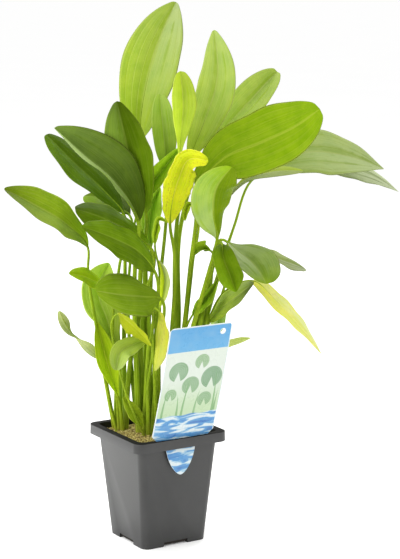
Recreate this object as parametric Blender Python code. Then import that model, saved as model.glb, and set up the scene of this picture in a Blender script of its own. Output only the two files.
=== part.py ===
# A potted echinodorus: a square nursery pot, its soil, a plain label and the leaves of the plant.
# Metres, +Z up. The pot stands on z = 0 with its middle on the Z axis, and its label faces -Y.

import math

import bmesh
import bpy
import numpy as np
from mathutils import Matrix, Vector

# The pot: its sides, corner to corner across the flats, and its wall
POT_TOP = 0.0900
POT_FOOT = 0.0634
POT_HEIGHT = 0.0990
BODY_TOP = 0.0804
POT_WALL = 0.0010
POT_CORNER = 0.0066
CORNER_STEPS = 4
RIM_THICKNESS = 0.0012
SKIRT_HEIGHT = 0.0075
NOTCH_WIDTH = 0.0240
NOTCH_HEIGHT = 0.0040
NOTCH_DEPTH = 0.0050

# The room between pieces that touch, how far a cutter reaches past what it cuts, and the soil's top
GAP = 0.0003
OVERSHOOT = 0.0040
SOIL_TOP = 0.0940

# The label: a card and the tongue below it, cut from one sheet, and the slot for the tongue
CARD_WIDTH = 0.0616
CARD_HEIGHT = 0.1110
CARD_CORNER = 0.0045
CARD_CHAMFER = 0.0060
CARD_SIDE = 0.0002
CARD_LEAN = math.radians(17.5)
LABEL_SHEET = 0.0005
TONGUE_WIDTH = 0.0306
TONGUE_LENGTH = 0.0320
TONGUE_SIDE = -0.0010
TONGUE_PLACE = 0.0421
TONGUE_STEPS = 12
TONGUE_FULLNESS = 1.60
TONGUE_POINT = 0.52
SLOT_ROOM = 0.0010

# The plant is laid out as it is seen from the front: x across, y away, z up, then turned with the pot.
PLANT_TURN = math.radians(-30.17)
# The eye that looks at it, in the plant's own directions, and the picture that it sees, in pixels
EYE = np.array((0.0, -1.537, 0.5048))
EYE_YAW = math.radians(1.42)
EYE_PITCH = math.radians(10.03)
PICTURE_MIDDLE = (200.0, 279.5)
PICTURE_FOCUS = 1782.4

# How a leaf is divided along its length, and which of its stations carry a ring of points
STALK_STATIONS = 70
BLADE_STATIONS = 22
STALK_ROWS = (0, 7, 15, 25, 35, 44, 54, 62, 69)
BLADE_ROWS = (1, 2, 4, 6, 8, 10, 12, 14, 16, 18, 19, 20)
# How much thinner a stalk is at its neck than at its foot
STALK_TAPER = 0.50
# A stalk rises steeply before it leans out: halfway up it has covered this share of the way across.
# That holds for a lone stalk and for one that passes other places, once they rise this high.
LONE_SHARE = 0.36
LONE_RISE = 0.040
PASSING_SHARE = 0.42
PASSING_RISE = 0.110
# The blade at its midrib, how much thinner it is at the tip, and over how many stations the stalk
# widens into it
BLADE_THICKNESS = 0.0011
BLADE_THINNING = 0.5
NECK_STATIONS = 5

# How leaves that grow close together push each other apart: the places tried across a blade, the
# room that a blade and the gap between two leaves need, how many rounds they push, how much of the
# lack each round makes good, over how many stations a push spreads, and how far above the soil it
# reaches its full share
ACROSS_BLADE = (-1.0, -0.75, -0.5, -0.25, 0.0, 0.25, 0.5, 0.75, 1.0)
BLADE_ROOM = 0.0019
CLEARANCE = 0.0007
CLOUD_MARGIN = 0.0040
PUSH_ROUNDS = 60
PUSH_SHARE = 0.7
PUSH_SPREAD = 5.0
RAMP_HEIGHT = 0.050

# The stub of a leaf that was cut off
CUT_STALK_FOOT = (-0.0350, 0.0020)
CUT_STALK_TOP = (108.5, 399, -0.006)
CUT_STALK_RADIUS = 0.0010
CUT_STALK_SIDES = 8

# Each finish: its linear red, green and blue, and its roughness
FINISHES = {
    "pot_plastic": ((0.045, 0.045, 0.047), 0.55),
    "soil": ((0.18, 0.12, 0.05), 0.95),
    "label_card": ((0.75, 0.82, 0.85), 0.35),
    "leaf_pale": ((0.36, 0.50, 0.13), 0.45),
    "leaf_bright": ((0.25, 0.45, 0.01), 0.40),
    "leaf_mid": ((0.13, 0.30, 0.02), 0.40),
    "leaf_dark": ((0.06, 0.17, 0.01), 0.35),
    "leaf_lime": ((0.50, 0.68, 0.03), 0.45),
    "leaf_yellow": ((0.78, 0.72, 0.05), 0.50),
}

LEAVES = {}


def leaf(name, finish, foot, stem, width, shows, neck, lower, upper, tip, middle=None,
         stalk_low=None, stalk_mid=None, stalk_high=None, lean=(-1, -1), widest=0.5,
         ends=(0.9, 0.7), twist=0.0):
    """Note down one leaf.

    foot    where its stalk stands on the soil, across and away, and stem its radius there
    width   the real width of its blade
    shows   how wide the left and the right half look in the picture, in pixels
    lean    for the left and the right half, 1 where the margin lies further away than the midrib
    widest  where along the blade it is widest, and ends how blunt its base and its tip are
    twist   how far the blade turns about its midrib from neck to tip, in degrees

    The stalk passes low, mid and high, and the midrib runs from the neck by lower, middle and upper
    to the tip. Each place is where it shows in the picture, across and down in pixels, and how far
    it lies behind the pot's middle.
    """
    passed = [place for place in (stalk_low, stalk_mid, stalk_high) if place]
    midrib = [place for place in (neck, lower, middle, upper, tip) if place]
    LEAVES[name] = {"finish": finish, "foot": foot, "stem": stem, "width": width, "shows": shows,
                    "stalk": passed, "blade": midrib, "lean": lean, "widest": widest,
                    "ends": ends, "twist": math.radians(twist)}


def note_tall_leaves():
    """The tall leaves that stand behind the middle."""
    leaf("leaf_01", "leaf_pale", foot=(-0.011, 0.009), stem=0.0032, width=0.056, shows=(29.5, 26.5),
         stalk_low=(146, 380, 0.012), stalk_high=(145, 265, 0.014),
         neck=(139, 140, 0.024), lower=(143.5, 100, 0.036), upper=(155.5, 51, 0.054),
         tip=(176, 2, 0.074),
         ends=(0.6, 0.7))
    leaf("leaf_02", "leaf_pale", foot=(-0.004, 0.009), stem=0.0024, width=0.024, shows=(11, 13),
         neck=(167, 184, 0.012), lower=(165, 150, 0.014), upper=(162, 118, 0.020),
         tip=(160, 94, 0.028),
         widest=0.55, ends=(1.0, 0.42))
    leaf("leaf_03", "leaf_lime", foot=(0.005, 0.003), stem=0.0024, width=0.026, shows=(11, 13.5),
         stalk_low=(176, 330, 0.002), stalk_high=(176.5, 240, 0.002),
         neck=(179, 172, 0.000), lower=(180.5, 140, 0.002), upper=(183, 105, 0.002),
         tip=(180, 71, -0.004),
         widest=0.68, ends=(1.0, 0.42))
    leaf("leaf_04", "leaf_pale", foot=(0.007, 0.009), stem=0.0028, width=0.039, shows=(18.5, 20),
         stalk_low=(174, 330, 0.010), stalk_high=(178, 215, 0.012),
         neck=(188, 163, 0.016), lower=(203, 125, 0.026), upper=(217, 80, 0.038),
         tip=(214, 30, 0.052),
         ends=(0.85, 0.7))
    leaf("leaf_05", "leaf_pale", foot=(0.011, 0.013), stem=0.0030, width=0.038, shows=(18.5, 15),
         stalk_low=(178, 330, 0.016), stalk_high=(181, 225, 0.024),
         neck=(199, 165, 0.040), lower=(228, 126, 0.062), upper=(253, 97.5, 0.084),
         tip=(277, 71.5, 0.106),
         widest=0.58, ends=(0.8, 0.5))


def note_right_leaves():
    """The leaves that lean or hang to the right."""
    leaf("leaf_06", "leaf_bright", foot=(0.009, -0.001), stem=0.0031, width=0.062, shows=(32, 29.5),
         stalk_low=(185, 322, -0.004), stalk_mid=(191, 262, -0.005), stalk_high=(196, 222, -0.006),
         neck=(198, 190, -0.006), lower=(222, 160, -0.012), middle=(263, 142, -0.022),
         upper=(298, 125, -0.028), tip=(320, 109, -0.031),
         lean=(1, -1), widest=0.58, ends=(0.5, 0.46))
    leaf("leaf_07", "leaf_pale", foot=(0.015, 0.012), stem=0.0019, width=0.050, shows=(22, 22),
         stalk_low=(205, 325, 0.020), stalk_mid=(234.5, 225, 0.035), stalk_high=(251, 181, 0.044),
         neck=(262, 171, 0.050), lower=(312, 152, 0.062), upper=(350, 157, 0.072),
         tip=(384, 169, 0.080),
         lean=(1, -1), widest=0.45, ends=(0.9, 1.0))
    leaf("leaf_08", "leaf_pale", foot=(0.012, 0.017), stem=0.0018, width=0.030, shows=(9, 10),
         stalk_low=(202, 325, 0.026), stalk_mid=(233.5, 228, 0.046), stalk_high=(252, 180, 0.060),
         neck=(300, 168, 0.084), lower=(340, 166, 0.098), upper=(370, 175, 0.108),
         tip=(399, 192, 0.114),
         lean=(1, -1), widest=0.45, ends=(0.9, 1.1))
    leaf("leaf_09", "leaf_pale", foot=(0.014, 0.003), stem=0.0025, width=0.030, shows=(5.5, 5),
         stalk_low=(196, 330, 0.004), stalk_high=(211, 268, 0.004),
         neck=(217, 240, 0.002), lower=(225, 204, 0.006), middle=(244, 181, 0.010),
         upper=(273, 172, 0.014), tip=(303, 171, 0.016),
         lean=(1, -1), widest=0.7, ends=(2.2, 0.5))
    leaf("leaf_10", "leaf_bright", foot=(0.011, -0.005), stem=0.0029, width=0.040, shows=(22, 19),
         stalk_low=(192, 330, -0.014), stalk_high=(210, 268, -0.021),
         neck=(217, 240, -0.027), lower=(213, 214, -0.042), upper=(216, 188, -0.060),
         tip=(232, 167, -0.075),
         lean=(-1, 1), widest=0.55, ends=(0.8, 0.6))
    leaf("leaf_29", "leaf_mid", foot=(0.016, -0.004), stem=0.0024, width=0.046, shows=(23, 16),
         stalk_mid=(205, 325, -0.008),
         neck=(224, 240, -0.018), lower=(238, 251, -0.032), upper=(254, 265, -0.048),
         tip=(266, 284, -0.060),
         lean=(1, -1), widest=0.62, ends=(1.3, 0.42))
    leaf("leaf_30", "leaf_bright", foot=(0.013, -0.008), stem=0.0024, width=0.030, shows=(13, 12),
         stalk_mid=(200, 325, -0.010),
         neck=(222, 244, 0.000), lower=(223, 256, -0.009), upper=(230, 275, -0.025),
         tip=(236, 292, -0.036),
         ends=(0.9, 0.6))
    leaf("leaf_31", "leaf_pale", foot=(0.019, 0.012), stem=0.0020, width=0.034, shows=(6.5, 5.5),
         stalk_mid=(212, 325, 0.014),
         neck=(246, 256, 0.022), lower=(266, 256, 0.032), upper=(288, 262.5, 0.044),
         tip=(306, 269.5, 0.054),
         lean=(1, -1), widest=0.55, ends=(1.6, 0.7))
    leaf("leaf_32", "leaf_mid", foot=(0.018, 0.000), stem=0.0021, width=0.034, shows=(10, 8),
         neck=(209, 323, -0.002), lower=(224, 306, -0.012), upper=(240, 294, -0.022),
         tip=(254, 283, -0.030),
         lean=(1, -1))
    leaf("leaf_33", "leaf_mid", foot=(0.007, -0.009), stem=0.0018, width=0.028, shows=(5.5, 7),
         neck=(192, 316, -0.007), lower=(202, 303, -0.011), upper=(211, 291, -0.014),
         tip=(218, 279, -0.016))
    leaf("leaf_34", "leaf_yellow", foot=(0.017, 0.005), stem=0.0020, width=0.028, shows=(8.5, 7),
         stalk_low=(205, 330, 0.004), stalk_high=(226, 291, 0.004),
         neck=(252, 281, -0.002), lower=(277, 302, -0.012), upper=(302, 328.5, -0.022),
         tip=(322, 355, -0.030),
         lean=(1, -1), widest=0.36, ends=(0.7, 1.0))
    leaf("leaf_35", "leaf_lime", foot=(0.020, 0.006), stem=0.0015, width=0.016, shows=(4, 4),
         neck=(205, 354, 0.002), lower=(222, 346, -0.004), upper=(238, 341, -0.010),
         tip=(251, 338, -0.014),
         lean=(1, -1))
    leaf("leaf_36", "leaf_lime", foot=(0.016, 0.009), stem=0.0018, width=0.026, shows=(7, 7),
         neck=(206, 350, 0.010), lower=(213, 335, 0.014), upper=(219, 320, 0.018),
         tip=(226, 302, 0.024))
    leaf("leaf_37", "leaf_mid", foot=(0.012, 0.000), stem=0.0018, width=0.020, shows=(2.5, 8.5),
         stalk_low=(202, 325, 0.003), stalk_high=(212, 275, -0.001),
         neck=(211, 251, -0.006), lower=(205, 249.5, -0.009), upper=(199, 250.5, -0.012),
         tip=(191, 257, -0.014))


def note_middle_leaves():
    """The withered and the small leaves of the middle clump."""
    leaf("leaf_11", "leaf_yellow", foot=(0.003, -0.005), stem=0.0025, width=0.030, shows=(13, 17),
         stalk_low=(172, 330, -0.008), stalk_high=(174, 250, -0.010),
         neck=(170, 224, -0.012), lower=(172, 203, -0.016), middle=(178.5, 179, -0.022),
         upper=(189, 159.5, -0.032), tip=(208.5, 161, -0.042),
         widest=0.5, ends=(0.65, 0.42))
    leaf("leaf_20", "leaf_lime", foot=(0.002, -0.001), stem=0.0016, width=0.016, shows=(4, 6),
         neck=(160, 308, -0.010), lower=(163, 292, -0.010), upper=(164, 277, -0.008),
         tip=(159, 260, -0.004))
    leaf("leaf_24", "leaf_pale", foot=(-0.008, -0.013), stem=0.0018, width=0.022, shows=(11, 9.5),
         neck=(148, 341, -0.040), lower=(134, 344, -0.052), upper=(121, 351, -0.060),
         tip=(116.5, 370, -0.062),
         widest=0.65, ends=(0.55, 0.5))
    leaf("leaf_25", "leaf_lime", foot=(-0.011, -0.011), stem=0.0013, width=0.024, shows=(3.5, 11),
         stalk_low=(122, 380, -0.036), stalk_mid=(114, 345, -0.042),
         stalk_high=(112, 321, -0.052),
         neck=(118, 314, -0.060), lower=(128, 321, -0.064), upper=(141, 333, -0.064),
         tip=(151, 346, -0.060),
         lean=(-1, 1), widest=0.38)
    leaf("leaf_26", "leaf_yellow", foot=(0.000, -0.010), stem=0.0016, width=0.026, shows=(11, 3),
         stalk_low=(154, 370, -0.032), stalk_mid=(153, 325, -0.044), stalk_high=(154.5, 308, -0.052),
         neck=(159, 311.5, -0.056), lower=(159.5, 327, -0.061), upper=(157.5, 350, -0.063),
         tip=(154.5, 371, -0.063), lean=(-1, 1), ends=(0.7, 0.7))
    leaf("leaf_27", "leaf_mid", foot=(-0.008, 0.003), stem=0.0016, width=0.016, shows=(4.5, 6),
         stalk_low=(151, 365, -0.010), stalk_mid=(152.5, 330, -0.016),
         stalk_high=(152.5, 313, -0.020),
         neck=(150, 310, -0.024), lower=(147, 316, -0.027), upper=(146, 326, -0.028),
         tip=(148, 340, -0.028))
    leaf("leaf_28", "leaf_lime", foot=(-0.001, 0.001), stem=0.0018, width=0.016, shows=(3.5, 4),
         stalk_low=(160, 310, -0.006), stalk_mid=(158, 262, -0.008), stalk_high=(156, 254, -0.010),
         neck=(155, 246, -0.012), lower=(156, 230, -0.016), upper=(161, 219, -0.020),
         tip=(168, 223, -0.024))
    leaf("leaf_38", "leaf_mid", foot=(0.009, 0.004), stem=0.0018, width=0.014, shows=(3.5, 4),
         stalk_low=(186, 322, 0.002), stalk_mid=(193, 262, 0.002),
         stalk_high=(198, 218, 0.000),
         neck=(194, 205, -0.002), lower=(189, 205, -0.004), upper=(186, 211, -0.006),
         tip=(185, 221, -0.008))
    leaf("leaf_39", "leaf_mid", foot=(-0.007, 0.003), stem=0.0024, width=0.036, shows=(8, 11),
         stalk_mid=(149, 330, 0.004),
         neck=(151, 250, 0.006), lower=(149, 232, 0.012), upper=(151, 210, 0.018),
         tip=(160, 187, 0.024))
    leaf("leaf_40", "leaf_lime", foot=(-0.017, 0.010), stem=0.0020, width=0.032, shows=(9, 8),
         stalk_low=(133, 385, 0.010), stalk_high=(130, 265, 0.003),
         neck=(139, 209, 0.000), lower=(151, 186, 0.004), upper=(164, 168, 0.006),
         tip=(181, 147, 0.008))
    leaf("leaf_42", "leaf_mid", foot=(-0.013, -0.008), stem=0.0011, width=0.018, shows=(7, 7),
         neck=(143, 427, -0.010), lower=(137, 417, -0.012), upper=(131, 408, -0.014),
         tip=(123, 397, -0.016))


def note_left_leaves():
    """The leaves that lean or hang to the left."""
    leaf("leaf_12", "leaf_dark", foot=(-0.013, 0.003), stem=0.0031, width=0.050, shows=(25, 22.5),
         stalk_low=(141, 380, 0.002), stalk_high=(141, 265, -0.001),
         neck=(146, 214, -0.001), lower=(136, 182, -0.002), upper=(126, 142, -0.006),
         tip=(117, 101, -0.012),
         ends=(0.8, 0.58))
    leaf("leaf_13", "leaf_dark", foot=(-0.016, -0.006), stem=0.0031, width=0.060, shows=(2, 34),
         stalk_low=(137, 380, -0.006), stalk_high=(135, 265, -0.010),
         neck=(138, 222, -0.014), lower=(112, 181, -0.024), upper=(82, 155, -0.034),
         tip=(54, 128, -0.042),
         lean=(-1, 1), ends=(0.8, 0.7))
    leaf("leaf_14", "leaf_dark", foot=(-0.028, 0.017), stem=0.0026, width=0.046, shows=(13, 16),
         stalk_low=(124, 370, 0.016), stalk_high=(125, 265, 0.008),
         neck=(124, 215, 0.004), lower=(104, 191, 0.010), upper=(76, 165, 0.018),
         tip=(46, 134.5, 0.026),
         lean=(-1, 1), ends=(0.9, 0.5))
    leaf("leaf_15", "leaf_mid", foot=(-0.038, 0.015), stem=0.0021, width=0.042, shows=(11, 19),
         stalk_low=(97, 330, -0.004), stalk_high=(88, 270, -0.016),
         neck=(88, 248, -0.022), lower=(65, 223.5, -0.036), upper=(35, 205.5, -0.052),
         tip=(4, 189, -0.064),
         lean=(-1, 1))
    leaf("leaf_16", "leaf_dark", foot=(-0.028, 0.012), stem=0.0026, width=0.048, shows=(23, 13),
         stalk_low=(129, 375, 0.006), stalk_high=(138, 315, -0.006),
         neck=(152, 250, -0.016), lower=(128, 231, -0.028), upper=(100, 217, -0.040),
         tip=(75, 209, -0.050),
         lean=(-1, 1), ends=(0.8, 0.6))
    leaf("leaf_17", "leaf_dark", foot=(-0.011, -0.006), stem=0.0026, width=0.044, shows=(16, 15),
         neck=(155, 272, -0.032), lower=(140, 253, -0.046), upper=(112, 238, -0.064),
         tip=(82, 227, -0.082),
         lean=(-1, 1))
    leaf("leaf_18", "leaf_mid", foot=(-0.004, -0.008), stem=0.0025, width=0.044, shows=(20, 22),
         stalk_mid=(158, 350, -0.022),
         neck=(161, 299, -0.038), lower=(144, 297, -0.054), upper=(120, 295, -0.076),
         tip=(96, 291, -0.094),
         lean=(-1, 1), ends=(0.8, 0.5))
    leaf("leaf_19", "leaf_bright", foot=(-0.034, 0.009), stem=0.0016, width=0.022, shows=(7, 9),
         stalk_mid=(113, 345, -0.004),
         neck=(106, 287, -0.014), lower=(94, 281, -0.022), upper=(82, 276, -0.030),
         tip=(69, 274, -0.038),
         lean=(-1, 1), ends=(0.9, 0.65))
    leaf("leaf_21", "leaf_pale", foot=(-0.037, 0.019), stem=0.0024, width=0.044, shows=(17, 19),
         neck=(117, 358, 0.008), lower=(108, 322, 0.018), upper=(98, 290, 0.032),
         tip=(109, 263, 0.048),
         widest=0.6, ends=(0.8, 0.85))
    leaf("leaf_22", "leaf_bright", foot=(-0.031, 0.007), stem=0.0021, width=0.026, shows=(9.5, 11),
         neck=(119, 400, 0.000), lower=(110, 372, -0.008), upper=(103, 347, -0.015),
         tip=(97, 322, -0.020),
         widest=0.6)
    leaf("leaf_23", "leaf_mid", foot=(-0.039, 0.010), stem=0.0011, width=0.013, shows=(0, 0),
         stalk_mid=(105, 381, -0.004),
         neck=(97, 358, -0.014), lower=(84, 343, -0.022), upper=(70, 331, -0.030),
         tip=(59, 311, -0.038),
         lean=(1, -1), ends=(0.5, 0.5), twist=210)
    leaf("leaf_41", "leaf_pale", foot=(-0.031, 0.022), stem=0.0022, width=0.040, shows=(10, 12),
         stalk_low=(120, 370, 0.024), stalk_high=(119.5, 265, 0.026),
         neck=(130, 216, 0.032), lower=(115, 205, 0.040), upper=(100, 198, 0.048),
         tip=(84, 196, 0.058),
         lean=(-1, 1))


def clear_scene():
    for thing in list(bpy.data.objects):
        bpy.data.objects.remove(thing, do_unlink=True)


def new_collection(name):
    collection = bpy.data.collections.new(name)
    bpy.context.scene.collection.children.link(collection)
    return collection


def make_finish(name):
    """The material of this name, made when it is first asked for."""
    material = bpy.data.materials.get(name)
    if material is None:
        colour, roughness = FINISHES[name]
        material = bpy.data.materials.new(name)
        material.use_nodes = True
        shader = material.node_tree.nodes["Principled BSDF"]
        shader.inputs["Base Color"].default_value = (*colour, 1.0)
        shader.inputs["Roughness"].default_value = roughness
        shader.inputs["Metallic"].default_value = 0.0
    return material


def new_object(name, work, collection, finish=None):
    """An object with what has been modelled so far as its mesh."""
    mesh = bpy.data.meshes.new(name)
    work.to_mesh(mesh)
    work.free()
    if finish:
        mesh.materials.append(make_finish(finish))
    thing = bpy.data.objects.new(name, mesh)
    collection.objects.link(thing)
    return thing


def tapered_box(name, side_low, side_high, low, high, corner, collection, finish=None):
    """An upright square box that widens on its way up, with its four upright edges rounded."""
    work = bmesh.new()
    bmesh.ops.create_cube(work, size=1.0)
    for vertex in work.verts:
        is_high = vertex.co.z > 0
        side = side_high if is_high else side_low
        vertex.co = (vertex.co.x * side, vertex.co.y * side, high if is_high else low)
    upright = [edge for edge in work.edges
               if abs(edge.verts[0].co.z - edge.verts[1].co.z) > 0.5 * (high - low)]
    bmesh.ops.bevel(work, geom=upright, offset=corner, segments=CORNER_STEPS, profile=0.5,
                    affect="EDGES")
    return new_object(name, work, collection, finish)


def block(name, size, collection):
    """A plain block with its size in its mesh."""
    work = bmesh.new()
    bmesh.ops.create_cube(work, size=1.0, matrix=Matrix.Diagonal((*size, 1.0)))
    return new_object(name, work, collection)


def cut_or_join(thing, tool, operation):
    modifier = thing.modifiers.new(operation.title() + " " + tool.name, "BOOLEAN")
    modifier.operation = operation
    modifier.solver = "EXACT"
    modifier.object = tool
    tool.hide_render = True
    tool.display_type = "WIRE"


def body_side(height):
    """The side of the pot's tapered body at this height."""
    return POT_FOOT + (BODY_TOP - POT_FOOT) * height / POT_HEIGHT


def make_rim(cutters):
    """A flat square frame with a skirt that hangs from its edge."""
    skirt_foot = POT_HEIGHT - SKIRT_HEIGHT
    rim = tapered_box("rim_form", POT_TOP, POT_TOP, skirt_foot, POT_HEIGHT, POT_CORNER, cutters)
    inside = POT_TOP - 2 * POT_WALL
    hollow = tapered_box("under_rim", inside, inside, skirt_foot - OVERSHOOT,
                         POT_HEIGHT - RIM_THICKNESS, POT_CORNER - POT_WALL, cutters)
    cut_or_join(rim, hollow, "DIFFERENCE")
    return rim


def make_pot(parts, cutters):
    """A thin tapered shell with a rim, a slot for the label and a drain notch under each side."""
    join_height = POT_HEIGHT - RIM_THICKNESS / 3
    pot = tapered_box("pot", POT_FOOT, body_side(join_height), 0.0, join_height, POT_CORNER, parts,
                      "pot_plastic")
    cut_or_join(pot, make_rim(cutters), "UNION")
    roof = POT_HEIGHT + OVERSHOOT
    cavity = tapered_box("cavity", body_side(POT_WALL) - 2 * POT_WALL,
                         body_side(roof) - 2 * POT_WALL, POT_WALL, roof, POT_CORNER - POT_WALL,
                         cutters)
    cut_or_join(pot, cavity, "DIFFERENCE")
    slot_size = (TONGUE_WIDTH + 2 * SLOT_ROOM, LABEL_SHEET + 2 * SLOT_ROOM, 4 * RIM_THICKNESS)
    slot = block("label_slot", slot_size, cutters)
    slot.location = (TONGUE_SIDE, -TONGUE_PLACE, POT_HEIGHT)
    cut_or_join(pot, slot, "DIFFERENCE")
    length = NOTCH_DEPTH + OVERSHOOT
    middle = POT_FOOT / 2 + OVERSHOOT - length / 2
    for side, turn in (("front", 0), ("right", 90), ("back", 180), ("left", 270)):
        notch = block("notch_" + side, (NOTCH_WIDTH, length, 2 * NOTCH_HEIGHT), cutters)
        angle = math.radians(turn)
        notch.rotation_euler = (0.0, 0.0, angle)
        notch.location = (middle * math.sin(angle), -middle * math.cos(angle), 0.0)
        cut_or_join(pot, notch, "DIFFERENCE")
    return pot


def make_soil(parts):
    """The soil fills the pot's inside, less the gap, up to its level top."""
    low = POT_WALL + GAP
    room = 2 * (POT_WALL + GAP)
    return tapered_box("soil", body_side(low) - room, body_side(SOIL_TOP) - room, low, SOIL_TOP,
                       POT_CORNER - POT_WALL, parts, "soil")


def quarter_round(middle, radius, start, steps=4):
    """Points along a quarter of a circle that begins at this angle in degrees."""
    points = []
    for step in range(steps + 1):
        angle = math.radians(start + 90 * step / steps)
        points.append((middle[0] + radius * math.cos(angle), middle[1] + radius * math.sin(angle)))
    return points


def label_outline():
    """The flat sheet's outline, against the clock, with the bend between card and tongue at 0."""
    left = CARD_SIDE - CARD_WIDTH / 2
    right = CARD_SIDE + CARD_WIDTH / 2
    round_height = CARD_HEIGHT - CARD_CORNER
    outline = [(TONGUE_SIDE + TONGUE_WIDTH / 2, 0.0), (right - CARD_CHAMFER, 0.0),
               (right, CARD_CHAMFER)]
    outline += quarter_round((right - CARD_CORNER, round_height), CARD_CORNER, 0)
    outline += quarter_round((left + CARD_CORNER, round_height), CARD_CORNER, 90)
    outline += [(left, CARD_CHAMFER), (left + CARD_CHAMFER, 0.0),
                (TONGUE_SIDE - TONGUE_WIDTH / 2, 0.0)]
    for step in range(1, TONGUE_STEPS):
        along = -1.0 + 2.0 * step / TONGUE_STEPS
        depth = TONGUE_LENGTH * (1.0 - abs(along) ** TONGUE_FULLNESS) ** TONGUE_POINT
        outline.append((TONGUE_SIDE + along * TONGUE_WIDTH / 2, -depth))
    return outline


def flat_sheet(outline, thickness, collection):
    """A flat plate with this outline, lying level, as something to model on."""
    curve = bpy.data.curves.new("sheet", "CURVE")
    curve.dimensions = "2D"
    curve.fill_mode = "BOTH"
    curve.extrude = thickness / 2
    spline = curve.splines.new("POLY")
    spline.points.add(len(outline) - 1)
    for point, (across, along) in zip(spline.points, outline):
        point.co = (across, along, 0.0, 1.0)
    spline.use_cyclic_u = True
    sheet = bpy.data.objects.new("sheet", curve)
    collection.objects.link(sheet)
    bpy.context.view_layer.update()
    seen_sheet = sheet.evaluated_get(bpy.context.evaluated_depsgraph_get())
    mesh = bpy.data.meshes.new_from_object(seen_sheet)
    work = bmesh.new()
    work.from_mesh(mesh)
    bmesh.ops.remove_doubles(work, verts=work.verts, dist=0.00001)
    bpy.data.objects.remove(sheet)
    bpy.data.meshes.remove(mesh)
    return work


def make_label(parts):
    """A card with a tongue, cut from one plastic sheet and bent where the card leaves the slot."""
    work = flat_sheet(label_outline(), LABEL_SHEET, parts)
    bmesh.ops.rotate(work, verts=work.verts, matrix=Matrix.Rotation(math.pi / 2, 3, "X"))
    bmesh.ops.bisect_plane(work, geom=work.verts[:] + work.edges[:] + work.faces[:],
                           dist=0.00001, plane_co=(0, 0, 0), plane_no=(0, 0, 1))
    card = [vertex for vertex in work.verts if vertex.co.z > 0.00001]
    bmesh.ops.rotate(work, verts=card, matrix=Matrix.Rotation(CARD_LEAN, 3, "X"))
    label = new_object("label", work, parts, "label_card")
    label.location = (0.0, -TONGUE_PLACE, POT_HEIGHT + GAP)
    return label


def seen(across, down, behind):
    """The point that shows at this place in the picture and lies this far behind the pot's middle."""
    forward = np.array((math.sin(EYE_YAW) * math.cos(EYE_PITCH),
                        math.cos(EYE_YAW) * math.cos(EYE_PITCH), -math.sin(EYE_PITCH)))
    right = np.array((math.cos(EYE_YAW), -math.sin(EYE_YAW), 0.0))
    up = np.cross(right, forward)
    ray = forward + right * ((across - PICTURE_MIDDLE[0]) / PICTURE_FOCUS)
    ray = ray + up * ((PICTURE_MIDDLE[1] - down) / PICTURE_FOCUS)
    return EYE + ray * ((behind - EYE[1]) / ray[1])


def unit(vectors):
    return vectors / np.linalg.norm(vectors, axis=-1, keepdims=True)


def evenly(points, count):
    """The same path as this many points, evenly spaced."""
    steps = np.linalg.norm(np.diff(points, axis=0), axis=1)
    run = np.concatenate([[0.0], np.cumsum(steps)])
    wanted = np.linspace(0.0, run[-1], count)
    return np.stack([np.interp(wanted, run, points[:, axis]) for axis in range(3)], axis=-1)


def smooth_path(points, steps=40):
    """A smooth curve that passes through the points."""
    places = np.array(points, float)
    gaps = np.linalg.norm(np.diff(places, axis=0), axis=1)
    chords = np.diff(places, axis=0) / gaps[:, None]
    slopes = np.zeros_like(places)
    for i in range(1, len(places) - 1):
        both = gaps[i] + gaps[i - 1]
        slopes[i] = (chords[i - 1] * gaps[i] + chords[i] * gaps[i - 1]) / both
    slopes[0] = 1.5 * chords[0] - 0.5 * slopes[1]
    slopes[-1] = 1.5 * chords[-1] - 0.5 * slopes[-2]
    curve = []
    for i, gap in enumerate(gaps):
        for s in np.linspace(0.0, 1.0, steps, endpoint=False):
            curve.append((2 * s ** 3 - 3 * s ** 2 + 1) * places[i]
                         + (s ** 3 - 2 * s ** 2 + s) * gap * slopes[i]
                         + (3 * s ** 2 - 2 * s ** 3) * places[i + 1]
                         + (s ** 3 - s ** 2) * gap * slopes[i + 1])
    curve.append(places[-1])
    return np.array(curve)


def stalk_places(one):
    """The stalk's foot and the places that it passes, rising steeply before it leans out."""
    foot = np.array((*one["foot"], SOIL_TOP + GAP))
    passed = [seen(*place) for place in one["stalk"]]
    share = PASSING_SHARE if passed else LONE_SHARE
    rise = PASSING_RISE if passed else LONE_RISE
    first = passed[0] if passed else seen(*one["blade"][0])
    if first[2] - SOIL_TOP > rise:
        halfway = foot + (first - foot) * 0.5
        halfway[:2] = foot[:2] + (first[:2] - foot[:2]) * share
        passed.insert(0, halfway)
    return [foot] + passed


def leaf_path(one):
    """The stalk's middle line and then the midrib, as stations from the foot to the tip."""
    blade = [seen(*place) for place in one["blade"]]
    whole = evenly(smooth_path(stalk_places(one) + blade), 800)
    neck = int(np.argmin(np.linalg.norm(whole - blade[0], axis=1)))
    return np.concatenate([evenly(whole[:neck + 1], STALK_STATIONS),
                           evenly(whole[neck:], BLADE_STATIONS)])


def half_width(along, widest, ends):
    """How wide a half is along the blade, as a share of its greatest width."""
    bend = math.log(0.5) / math.log(widest)
    swell = np.clip(np.sin(math.pi * along ** bend), 0.0, 1.0)
    return np.where(along < widest, swell ** ends[0], swell ** ends[1])


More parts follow.
